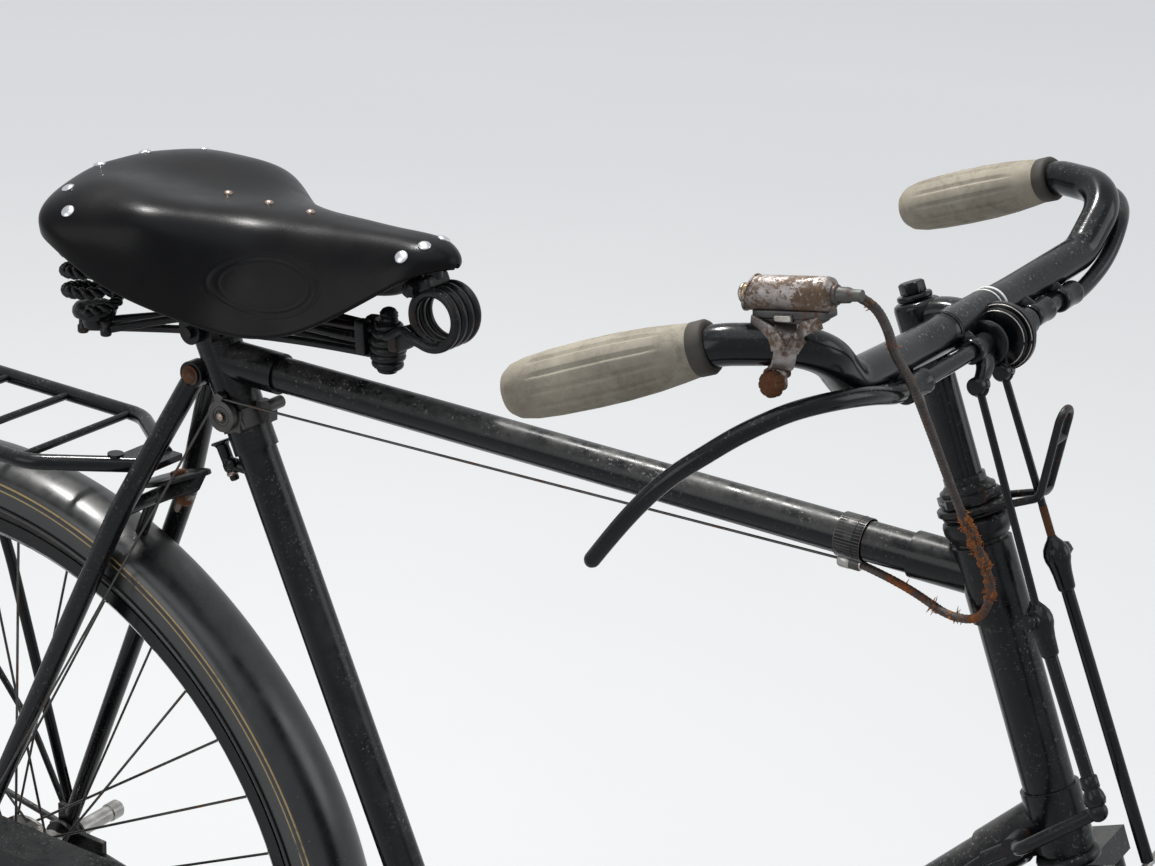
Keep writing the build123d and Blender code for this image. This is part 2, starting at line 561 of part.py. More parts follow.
# stem and bar
stem = rod(head_at(600), head_at(BAR_Z + 8), STEM_R)
stem += rod(head_at(BAR_Z - 14), head_at(BAR_Z + 8), 15)
stem += rod(head_at(BAR_Z - 1), (BAR_X, 0, BAR_Z), 12)
stem += rod((BAR_X, -32, BAR_Z), (BAR_X, 32, BAR_Z), 14.5)
stem += rod(head_at(BAR_Z + 6), head_at(BAR_Z + 16), 7)
fork -= rod(head_at(599), head_at(640), STEM_R)
grip_back = Vector(140.5, 241.5, 692.8)
grip_front = Vector(248.2, 222.9, 738.3)
grip_dir = (grip_front - grip_back).normalized()
bar_bend = Vector(297, 198.2, 744.1)
bar_knee = Vector(295.8, 157.9, 712.4)


def flip(v):
    """Mirror a point to the bicycle's right."""
    return Vector(v.X, -v.Y, v.Z)


half_bar = [grip_back + grip_dir * 2, grip_front + grip_dir * 4, bar_bend, bar_knee, Vector(BAR_X, 70, BAR_Z),
            Vector(BAR_X, 0, BAR_Z)]
BAR_RADII = [80, 34, 30, 300]
bar_left = bent(half_bar, BAR_RADII, BAR_R)
bar_right = bent([flip(p) for p in half_bar], BAR_RADII, BAR_R)
SHAFT_X = 308
SHAFT_Z = 692
SHAFT_R = 4.6
bar = stem + bar_left + bar_right
for y in (-104, -56, 56, 104):
    bar += block(((BAR_X + SHAFT_X) / 2, y, (BAR_Z + SHAFT_Z) / 2), (20, 12, 12),
                 along=(0.73, 0, -0.68), up=(0.68, 0, 0.73))
    bar += rod((SHAFT_X, y - 6, SHAFT_Z), (SHAFT_X, y + 6, SHAFT_Z), 8)
for y in (-104, -56, 56, 104):
    bar -= rod((SHAFT_X, y - 9, SHAFT_Z), (SHAFT_X, y + 9, SHAFT_Z), SHAFT_R)

grip_table = [(0, 10), (1.5, 13.5), (7, 16), (28, 17.8), (66, 18), (96, 16.2), (110, 14), (117, 13.4)]
grips = []
for side in (-1, 1):
    back = Vector(grip_back.X, grip_back.Y * side, grip_back.Z)
    front = Vector(grip_front.X, grip_front.Y * side, grip_front.Z)
    body = turned(back - (front - back).normalized() * 4, front - back, grip_table)
    grips.append(body - (bar_left if side > 0 else bar_right))

# brake levers: outward, back and height about the shaft
lever_table = [(24, 0, 0), (126, 0, 0), (170, 7, 9), (205, 22, 20), (240, 42, 12), (256, 68, -12), (262, 92, -42), (263, 107, -70)]


def lever(side, turn):
    """Brake lever bar turned about its shaft by an angle in degrees."""
    a = math.radians(turn)
    points = []
    for y, back, up in lever_table:
        x = -back * math.cos(a) + up * math.sin(a)
        z = back * math.sin(a) + up * math.cos(a)
        points.append(Vector(SHAFT_X + x, y * side, SHAFT_Z + z))
    return bent(points, [50, 40, 26, 24, 40, 100], SHAFT_R)


ARM = Vector(8, 0, -13)
RIGHT_ARM_Y = -30
LEFT_ARM_Y = 4
right_lever = lever(-1, 0)
right_lever += rod((SHAFT_X, RIGHT_ARM_Y, SHAFT_Z), Vector(SHAFT_X, RIGHT_ARM_Y, SHAFT_Z) + ARM, 4)
left_lever = lever(1, 38)
left_lever += rod((SHAFT_X, 25, SHAFT_Z), (SHAFT_X, LEFT_ARM_Y - 2, SHAFT_Z), SHAFT_R)
left_lever += rod((SHAFT_X, LEFT_ARM_Y, SHAFT_Z), Vector(SHAFT_X, LEFT_ARM_Y, SHAFT_Z) + ARM, 4)

# brake rods
rod1_top = Vector(SHAFT_X, RIGHT_ARM_Y, SHAFT_Z) + ARM
rod1_mid = Vector(371, -30, 542)
rod1_low = Vector(421.7, -46.9, 457.6)
upper_rod = rod(rod1_top, rod1_mid, 3.2)
upper_rod += Plane(origin=rod1_top) * Sphere(6)
upper_rod += rod(rod1_mid, rod1_low, 4.6)
upper_rod += Plane(origin=rod1_mid) * Sphere(7)
rod2_top = Vector(SHAFT_X, LEFT_ARM_Y, SHAFT_Z) + ARM
rod2_mid = Vector(364, 2, 578)
rod2_low = Vector(443, 0, 403)
front_rod = rod(rod2_top, rod2_mid, 3.2)
front_rod += Plane(origin=rod2_top) * Sphere(6)
front_rod += rod(rod2_mid, rod2_low, 3.9)
front_rod += Plane(origin=rod2_mid) * Sphere(7)
front_rod += rod(rod2_mid - LEFT * 11, rod2_mid + LEFT * 11, 4.2)
right_lever -= upper_rod
left_lever -= front_rod


def stirrup(axle, degrees, outer_r, leg_y, leg_r):
    """Brake stirrup round the tyre in a plane through the axle, with two blocks."""
    a = math.radians(degrees)
    way = Vector(math.cos(a), 0, math.sin(a))
    across = Vector(-math.sin(a), 0, math.cos(a))
    points = [axle + way * 298 - LEFT * leg_y, axle + way * outer_r - LEFT * leg_y,
              axle + way * outer_r + LEFT * leg_y, axle + way * 298 + LEFT * leg_y]
    frame = bent(points, [12, 12], leg_r)
    for side in (-1, 1):
        frame += rod(axle + way * 298 + LEFT * leg_y * side, axle + way * 298 + LEFT * 16 * side, leg_r)
    blocks = []
    for side in (-1, 1):
        shoe = block(axle + way * 298 + LEFT * 12.5 * side, (46, 9, 9), along=across, up=way)
        blocks.append(shoe - frame)
    return frame, blocks


front_frame, front_blocks = stirrup(FRONT_AXLE, 117.5, 391, 31.6, 2.4)
rear_frame, rear_blocks = stirrup(REAR_AXLE, -9, 366, 27.4, 2.4)

# gear control on the right of the bar
clamp_at = Vector(272, -212.4, 741.8)
bar_way = flip(bar_bend - grip_front).normalized()
band = rod(clamp_at - bar_way * 6, clamp_at + bar_way * 6, 13)
body_way = Vector(53.3, 0, 11.4).normalized()
body_mid = Vector(284.5, -209, 771)
control = band + rod(body_mid - body_way * 26, body_mid + body_way * 26, 9)
control += block(body_mid - Vector(0, 0, 10.5), (46, 15, 5), along=body_way, up=(-0.21, 0, 0.98))
control += block(clamp_at + Vector(5, 0, 15), (14, 12, 14), along=body_way, up=(-0.21, 0, 0.98))
control += rod(clamp_at - Vector(0, 0, 12), clamp_at - Vector(0, 0, 22), 5.5)
control += rod(clamp_at - Vector(0, 7, 20), clamp_at + Vector(0, 7, -20), 6)
control -= bar_right
control += rod(body_mid + body_way * 26, body_mid + body_way * 33, 4)

# gear cable, from the control to the clip under the top tube
cable_points = [(313.5, -209, 778.2), (326, -204, 775), (328, -186, 756), (320, -160, 735), (319, -130, 710), (320.5, -105, 678),
                (321, -80, 647), (324, -55, 612), (331, -40, 586), (341, -35, 562), (334, -29.5, 538),
                (310, -21, 530), (286, -12, 534), (262, -6, 537), (240, 0, 537.3)]


def radii_for(points):
    """Arc radius at each corner, 0.45 of the shorter run over the tangent of half the turn."""
    radii = []
    for k in range(1, len(points) - 1):
        a = Vector(*points[k]) - Vector(*points[k - 1])
        b = Vector(*points[k + 1]) - Vector(*points[k])
        turn = math.radians(a.get_angle(b))
        radii.append(0.45 * min(a.length, b.length) / math.tan(turn / 2))
    return radii


CABLE_R = 2.6
cable_radii = radii_for(cable_points)
print("cable radii", [round(r) for r in cable_radii])
cable = bent(cable_points, cable_radii, CABLE_R)

fulcrum = rod((226, 0, TOP_TUBE_Z), (244, 0, TOP_TUBE_Z), TOP_TUBE_R + 1.4)
fulcrum += rod((226.2, 0, 537.3), (239.8, 0, 537.3), 4.6)
fulcrum -= top_tube

PULLEY = Vector(-250, 0, 520.5)
PULLEY_R = 11.5
PULLEY_Y = -21.5
pulley = disc(PULLEY, PULLEY_R, 5, PULLEY_Y)
pulley += rod(PULLEY + LEFT * (PULLEY_Y - 4), PULLEY + LEFT * (PULLEY_Y + 4), 3.4)
pulley += block(PULLEY + Vector(2, -17.6, -3), (22, 2.2, 16))
pulley_clip = rod(seat_at(508), seat_at(520), SEAT_TUBE_R + 4)
pulley_clip += rod((-222, -8, 530), (-222, 8, 530), 4.5)
pulley_clip += block((-228, 0, 524), (12, 9, 14))
pulley_clip = pulley_clip + pulley - rod(seat_at(440), seat_at(570), SEAT_TUBE_R + 2.0)
wire_front = rod((226, 0, 537.3), (PULLEY.X, PULLEY_Y, PULLEY.Z + PULLEY_R + 0.9), 0.9)
wire_back = rod((PULLEY.X - PULLEY_R - 0.9, PULLEY_Y, PULLEY.Z), (-497, -88, 62), 0.9)

peg = rod((-269, 0, 487), (-256, 0, 463), 4.5)
peg += rod((-270, 0, 489), (-268.4, 0, 486), 7)
peg += rod((-243, 0, 474), (-262, 0, 475), 4)
peg -= seat
peg -= seat_pin

# rear brake linkage
BELL_EYE = (424.7, -48, 451.2)
bell = bent([(371, -27, 400), (383, -54, 414), BELL_EYE], [14], 4)
bell += rod((371, -13, 400), (371, -33, 400), 7)
bell += rod((371, -27, 400), (352, -26, 384), 4.5)
bell += Plane(origin=BELL_EYE) * Sphere(6)
bell -= head
bell -= down_tube
upper_rod -= rod(rod1_low, rod1_low + (rod1_low - rod1_mid), 9)
shaft_low = down_dir * 40 + down_under * 31
rod_low = down_dir * 72 + down_under * 12 - LEFT * 23
long_rod = rod((352, -26, 384), rod_low, 3)
long_rod -= bell
low_crank = rod(shaft_low - LEFT * 26, shaft_low + LEFT * 6, 5)
low_crank += rod(shaft_low - LEFT * 23, rod_low, 4)
link_end = Vector(28, 0, -34)
low_crank += rod(shaft_low, link_end, 4)
low_crank += Plane(origin=rod_low) * Sphere(6)
low_crank += Plane(origin=link_end) * Sphere(5.5)
hanger = block(down_dir * 40 + down_under * 22, (12, 10, 16), along=down_dir, up=down_under)
low_crank += hanger
low_crank -= shell
low_crank -= down_tube
long_rod -= low_crank
link = rod(link_end, (-133, 0, -4), 3)
rear_linkage = link - low_crank
rear_frame -= rear_linkage

save("head_tube_and_lugs", head)
save("seat_tube_and_lug", seat)
save("top_tube", top_tube)
save("down_tube", down_tube)
save("chain_stays", chain_stays)
save("bottom_bracket_shell", shell)
save("seat_stays", seat_stay_pair)
save("seat_stay_bolt", seat_bolt - seat)
save("headset_cups", *cups)
save("seat_pin", seat_pin)
save("saddle_leather", leather)
save("saddle_wires_and_cantle", rails, cantle - leather)
save("saddle_clip", clip - rails - seat_pin - seat)
save("saddle_rear_springs", *[s - rails for s in springs])
save("saddle_front_spring", nose_spring - leather - bobbin)
save("rear_spindle_nuts_and_step", rear_spindle, step)
save("rear_mudguard", rear_guard)
save("rear_mudguard_stays", *[g - rack - rear_spindle for g in guard_stays])
save("carrier", rack)
save("carrier_clamp", clamp)
save("chaincase", case)
save("chain", chain)
save("fork", fork)
save("front_spindle_and_nuts", front_spindle)
save("front_mudguard", front_guard)
save("front_mudguard_stays", *[g - front_spindle for g in front_stays])
save("lamp_bracket", bracket)
save("headset_locknut", locknut, top_race)
save("handlebar_and_stem", bar)
save("grips", *grips)
save("brake_lever_right", right_lever)
save("brake_lever_left", left_lever)
save("rear_brake_rod_upper", upper_rod)
save("front_brake_rod", front_rod)
save("front_brake_stirrup", front_frame - front_rod)
save("front_brake_blocks", *front_blocks)
save("gear_control", control)
save("gear_cable", cable - control)
save("gear_cable_guides", fulcrum - cable, pulley_clip)
save("gear_wire", wire_front - pulley_clip - fulcrum, wire_back - pulley_clip - rear_spindle - seat_stay_pair)
save("pump_peg", peg)
save("rear_brake_cranks", bell, low_crank)
save("rear_brake_rod_lower", long_rod)
save("rear_brake_stirrup", rear_frame, rear_linkage)
save("rear_brake_blocks", *rear_blocks)

# moved so that the seat point is the origin, and saved
for name, solids in nodes.items():
    shape = Compound(children=[s.moved(Location(-SEAT_POINT)) for s in solids])
    export_step(shape, "parts/" + name + ".step")
    print(name, len(solids), [round(v) for v in shape.bounding_box().min], [round(v) for v in shape.bounding_box().max])
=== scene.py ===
import bpy
import math
import numpy as np
from mathutils import Matrix


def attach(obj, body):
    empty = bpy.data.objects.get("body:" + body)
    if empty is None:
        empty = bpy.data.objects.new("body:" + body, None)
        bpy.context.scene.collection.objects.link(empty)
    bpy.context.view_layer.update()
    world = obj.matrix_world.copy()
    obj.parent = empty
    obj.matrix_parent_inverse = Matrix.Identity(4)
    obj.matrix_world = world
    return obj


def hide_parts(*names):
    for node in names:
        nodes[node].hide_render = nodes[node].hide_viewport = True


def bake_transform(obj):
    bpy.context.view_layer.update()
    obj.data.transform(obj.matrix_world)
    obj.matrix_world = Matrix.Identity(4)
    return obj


# Looks of an old black roadster bicycle.
# Lengths in tables are millimetres from the bottom bracket centre, +X forward, +Y left, +Z up.
# metres() takes them to Blender's frame, whose origin is the rider's seat point.

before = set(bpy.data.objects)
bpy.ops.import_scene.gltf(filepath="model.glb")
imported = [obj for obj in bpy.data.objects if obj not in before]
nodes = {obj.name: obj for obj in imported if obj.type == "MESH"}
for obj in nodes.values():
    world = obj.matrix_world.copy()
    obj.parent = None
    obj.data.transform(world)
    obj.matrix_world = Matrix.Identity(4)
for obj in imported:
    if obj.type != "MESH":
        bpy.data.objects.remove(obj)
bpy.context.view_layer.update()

SEAT_POINT = np.array([-260.0, 0.0, 676.0])
REAR_AXLE = np.array([-497.0, 0.0, 54.0])
FRONT_AXLE = np.array([624.0, 0.0, 54.0])
# where the top tube's line meets the steering axis, and that axis's angle to the ground
HEAD_X = 325.0
HEAD_Z = 554.0
HEAD_ANGLE = math.radians(67)
HEAD_DOWN = np.array([math.cos(HEAD_ANGLE), 0.0, -math.sin(HEAD_ANGLE)])
HEAD_UP = -HEAD_DOWN
HEAD_AHEAD = np.array([math.sin(HEAD_ANGLE), 0.0, math.cos(HEAD_ANGLE)])
AHEAD = np.array([1.0, 0.0, 0.0])
LEFT = np.array([0.0, 1.0, 0.0])
UP = np.array([0.0, 0.0, 1.0])


def metres(points):
    """Millimetres from the bracket centre, moved to the seat point and scaled to metres."""
    return (np.asarray(points, float) - SEAT_POINT) / 1000.0


def unit(v):
    """Vectors of length one, row by row."""
    v = np.asarray(v, float)
    return v / np.maximum(np.linalg.norm(v, axis=-1, keepdims=True), 1e-12)


def head_at(z, ahead=0.0, y=0.0):
    """Point on the steering axis at height z, moved ahead and sideways."""
    base = np.array([HEAD_X + (HEAD_Z - z) / math.tan(HEAD_ANGLE), 0.0, z])
    return base + HEAD_AHEAD * ahead + LEFT * y


def across_frame(way):
    """Two unit vectors square to a direction and to each other."""
    way = unit(way)
    helper = np.where(np.abs(way[..., 2:3]) < 0.9, UP, AHEAD)
    first = unit(np.cross(way, helper))
    return first, np.cross(way, first)


def run_along(points):
    """Length from the first point to each point of a line."""
    return np.concatenate([[0], np.cumsum(np.linalg.norm(np.diff(points, axis=0), axis=1))])


def natural_curve(values, knots, where):
    """Natural cubic through rows of values: its second slopes at the knots solve a system of three bands,
    and between knots it is a cubic."""
    values = np.asarray(values, float)
    knots = np.asarray(knots, float)
    n = len(knots)
    h = np.diff(knots)
    system = np.eye(n)
    rows = np.arange(1, n - 1)
    system[rows, rows - 1] = h[:-1]
    system[rows, rows] = 2 * (h[:-1] + h[1:])
    system[rows, rows + 1] = h[1:]
    flat = values.reshape(n, -1)
    slope = np.diff(flat, axis=0) / h[:, None]
    right = np.zeros_like(flat)
    right[1:-1] = 6 * np.diff(slope, axis=0)
    bend = np.linalg.solve(system, right)
    k = np.clip(np.searchsorted(knots, where, side="right") - 1, 0, n - 2)
    t = (where - knots[k])[:, None]
    d = h[k][:, None]
    a = (bend[k + 1] - bend[k]) / (6 * d)
    c = slope[k] - d * (2 * bend[k] + bend[k + 1]) / 6
    out = flat[k] + c * t + bend[k] / 2 * t ** 2 + a * t ** 3
    return out.reshape((len(where),) + values.shape[1:])


def smooth_path(points, count):
    """Natural cubic through the points, with the run between them as its parameter, in even steps."""
    points = np.asarray(points, float)
    run = run_along(points)
    fine = natural_curve(points, run, np.linspace(0, run[-1], count * 8))
    length = run_along(fine)
    even = np.linspace(0, length[-1], count)
    return np.stack([np.interp(even, length, fine[:, k]) for k in range(3)], axis=1)


# Surfaces


class Shells:
    """Closed surfaces kept as arrays, written as one mesh."""

    def __init__(self):
        self.points = []
        self.faces = []
        self.finish = []
        self.base = 0

    def add(self, grid, finish=0, looped=False, closed_ends=True):
        """Rows run along the piece and columns round it. Faces join neighbours in the grid, and the
        first and last rows get a fan to their middle, unless the rows close in a loop or the ends are
        left open. The volume's sign turns faces outward."""
        grid = np.asarray(grid, float)
        rows, cols = grid.shape[:2]
        points = grid.reshape(-1, 3)
        r = np.arange(rows if looped else rows - 1)
        c = np.arange(cols)
        rr, cc = np.meshgrid(r, c, indexing="ij")
        nr, nc = (rr + 1) % rows, (cc + 1) % cols
        quads = np.stack([rr * cols + cc, rr * cols + nc, nr * cols + nc, nr * cols + cc],
                         axis=-1).reshape(-1, 4)
        tris = np.zeros((0, 3), int)
        if closed_ends and not looped:
            middles = np.stack([grid[0].mean(axis=0), grid[-1].mean(axis=0)])
            points = np.concatenate([points, middles])
            k = np.arange(cols)
            first = np.stack([np.full(cols, rows * cols), (k + 1) % cols, k], axis=-1)
            last_row = (rows - 1) * cols
            last = np.stack([np.full(cols, rows * cols + 1), last_row + k, last_row + (k + 1) % cols],
                            axis=-1)
            tris = np.concatenate([first, last])
        corners = np.concatenate([quads[:, [0, 1, 2]], quads[:, [0, 2, 3]], tris])
        p = points[corners]
        volume = np.einsum("ij,ij->i", p[:, 0], np.cross(p[:, 1], p[:, 2])).sum()
        if volume < 0:
            quads = quads[:, ::-1]
            tris = tris[:, ::-1]
        self.points.append(points)
        self.faces += (quads + self.base).tolist() + (tris + self.base).tolist()
        self.finish += [finish] * (len(quads) + len(tris))
        self.base += len(points)
        return self


def make(name, shells, finishes, body, hides=(), crease=38.0):
    """Writes the shells as one mesh at the origin, smooth but for edges sharper than crease, in degrees."""
    mesh = bpy.data.meshes.new(name)
    mesh.from_pydata(metres(np.concatenate(shells.points)), [], shells.faces)
    mesh.polygons.foreach_set("material_index", np.array(shells.finish, dtype=np.int32))
    mesh.polygons.foreach_set("use_smooth", np.ones(len(mesh.polygons), dtype=bool))
    for finish in finishes:
        mesh.materials.append(finish)
    mesh.set_sharp_from_angle(angle=math.radians(crease))
    mesh.update()
    piece = bpy.data.objects.new(name, mesh)
    bpy.context.scene.collection.objects.link(piece)
    if body:
        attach(piece, body)
    if hides:
        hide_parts(*hides)
    return piece


def turned(start, way, table, count=32):
    """Profile of distance and radius turned round an axis: start + way d + r (cos a, sin a) across it."""
    way = unit(way)
    first, second = across_frame(way)
    table = np.asarray(table, float)
    a = np.linspace(0, 2 * math.pi, count, endpoint=False)
    circle = np.cos(a)[:, None] * first + np.sin(a)[:, None] * second
    along = table[:, 0][:, None, None] * way
    return np.asarray(start, float) + along + table[:, 1][:, None, None] * circle


def six_sided(start, way, flats, height, count=48, turn=0.0):
    """Nut or bolt head: its radius is half the flats over the cosine of the angle from the nearest flat's
    middle, cut by cones at the rims."""
    way = unit(way)
    first, second = across_frame(way)
    a = np.linspace(0, 2 * math.pi, count, endpoint=False)
    off = (a + math.pi / 6) % (math.pi / 3) - math.pi / 6
    hexagon = flats / 2 / np.cos(off)
    d = np.array([0.0, 0.0, 0.12, 0.88, 1.0, 1.0]) * height
    cone = np.array([0.0, 0.97, 1.2, 1.2, 0.97, 0.0]) * flats / 2
    r = np.minimum(hexagon[None, :], cone[:, None])
    circle = np.cos(a + turn)[:, None] * first + np.sin(a + turn)[:, None] * second
    return np.asarray(start, float) + d[:, None, None] * way + r[:, :, None] * circle[None]


AXIS_SEED = 7
AXIS_TRIES = 400


def steady_across(way):
    """Two unit vectors square to each tangent, made with the one fixed direction of many that stays
    furthest from all of the tangents, so that the frame never flips."""
    tries = unit(np.random.default_rng(AXIS_SEED).normal(size=(AXIS_TRIES, 3)))
    clear = np.linalg.norm(np.cross(way[None, :, :], tries[:, None, :]), axis=-1).min(axis=1)
    first = unit(np.cross(way, tries[np.argmax(clear)]))
    return first, np.cross(way, first)


def round_bar(path, radius, count=16):
    """Circle carried along a path: path + r (cos a, sin a) in the two ways across the tangent."""
    path = np.asarray(path, float)
    way = unit(np.gradient(path, axis=0))
    first, second = steady_across(way)
    a = np.linspace(0, 2 * math.pi, count, endpoint=False)
    r = np.broadcast_to(np.asarray(radius, float), (len(path),))[:, None, None]
    return path[:, None, :] + r * (np.cos(a)[None, :, None] * first[:, None, :]
                                   + np.sin(a)[None, :, None] * second[:, None, :])


def torus(centre, way, major, minor, count=48, section=14):
    """Ring: circle of the minor radius carried round a circle of the major one."""
    first, second = across_frame(way)
    a = np.linspace(0, 2 * math.pi, count, endpoint=False)
    b = np.linspace(0, 2 * math.pi, section, endpoint=False)
    out = np.cos(a)[:, None] * first + np.sin(a)[:, None] * second
    r = major + minor * np.cos(b)
    rise = (minor * np.sin(b))[None, :, None] * unit(way)
    return np.asarray(centre, float) + r[None, :, None] * out[:, None, :] + rise


def rounded_block(centre, size, along, up, power):
    """Box with rounded edges: a ball whose cosines and sines keep their sign and are raised to a power
    below one, stretched to the size and turned."""
    along = unit(along)
    side = unit(np.cross(up, along))
    up = np.cross(along, side)
    v = np.linspace(-math.pi / 2, math.pi / 2, 21)
    u = np.linspace(0, 2 * math.pi, 40, endpoint=False)

    def bulge(w):
        return np.sign(w) * np.abs(w) ** power

    x = bulge(np.cos(v))[:, None] * bulge(np.cos(u))[None, :]
    y = bulge(np.cos(v))[:, None] * bulge(np.sin(u))[None, :]
    z = np.broadcast_to(bulge(np.sin(v))[:, None], x.shape)
    half = np.asarray(size, float) / 2
    return (np.asarray(centre, float) + (x * half[0])[..., None] * along
            + (y * half[1])[..., None] * side + (z * half[2])[..., None] * up)


def band(start, way, inner, outer, width, bevel=0.35, count=48):
    """Closed profile for a ring round an axis: a rectangle with bevelled outer edges, turned."""
    return turned(start, way, [(0, inner), (0, outer - bevel), (bevel, outer), (width - bevel, outer),
                               (width, outer - bevel), (width, inner)], count)


def flat_bar(path, wide, thick, wide_way, count=16, power=0.35):
    """Flat bar along a path: superellipse section, its wide side kept in one direction as far as the
    tangent lets it."""
    path = np.asarray(path, float)
    way = unit(np.gradient(path, axis=0))
    wide_way = np.broadcast_to(np.asarray(wide_way, float), path.shape)
    first = unit(wide_way - way * np.einsum("ij,ij->i", wide_way, way)[:, None])
    second = np.cross(way, first)
    a = np.linspace(0, 2 * math.pi, count, endpoint=False)
    c = np.sign(np.cos(a)) * np.abs(np.cos(a)) ** power
    d = np.sign(np.sin(a)) * np.abs(np.sin(a)) ** power
    wide = np.broadcast_to(np.asarray(wide, float), (len(path),))[:, None, None] / 2
    thick = np.broadcast_to(np.asarray(thick, float), (len(path),))[:, None, None] / 2
    sideways = wide * c[None, :, None] * first[:, None, :]
    upward = thick * d[None, :, None] * second[:, None, :]
    return path[:, None, :] + sideways + upward


def plate(centre, outline, along, side, thick):
    """Sheet cut to an outline: the outline of two numbers a point, repeated on both faces and drawn in
    to the middle."""
    outline = np.asarray(outline, float)
    normal = np.cross(unit(along), unit(side))
    share = np.array([0.02, 0.97, 1.0, 1.0, 0.97, 0.02])
    lift = np.array([-0.5, -0.5, -0.36, 0.36, 0.5, 0.5]) * thick
    flat = outline[:, :1] * unit(along) + outline[:, 1:] * unit(side)
    return np.asarray(centre, float) + share[:, None, None] * flat[None] + lift[:, None, None] * normal


def filleted(points, radii, step=1.5):
    """Straight runs joined by arcs: at each corner the arc starts radius times the tangent of half the
    turn before it, and the result is read at even steps."""
    points = [np.asarray(p, float) for p in points]
    out = [points[0][None, :]]
    for before, corner, after, radius in zip(points, points[1:], points[2:], radii):
        a, b = unit(before - corner), unit(after - corner)
        half = math.acos(float(np.clip(a @ b, -1, 1))) / 2
        run = radius / math.tan(half)
        middle = corner + unit(a + b) * (radius / math.sin(half))
        ends = np.stack([corner + a * run - middle, corner + b * run - middle])
        t = np.linspace(0, 1, 24)[:, None]
        swing = math.pi - 2 * half
        out.append(middle + (np.sin((1 - t) * swing) * ends[0] + np.sin(t * swing) * ends[1])
                   / math.sin(swing))
    out.append(points[-1][None, :])
    line = np.concatenate(out)
    run = run_along(line)
    keep = np.concatenate([[True], np.diff(run) > 1e-6])
    even = np.linspace(0, run[-1], max(3, int(run[-1] / step)))
    return np.stack([np.interp(even, run[keep], line[keep][:, k]) for k in range(3)], axis=1)


def swept_ring(axle, section, start, span, steps):
    """Section of radius and side offset carried round an axle: axle + radius (cos a, sin a) + side."""
    a = np.radians(start + np.linspace(0, span, steps))
    out = np.stack([np.cos(a), np.zeros_like(a), np.sin(a)], axis=1)
    return axle + section[None, :, 0, None] * out[:, None, :] + section[None, :, 1, None] * LEFT


# Finishes


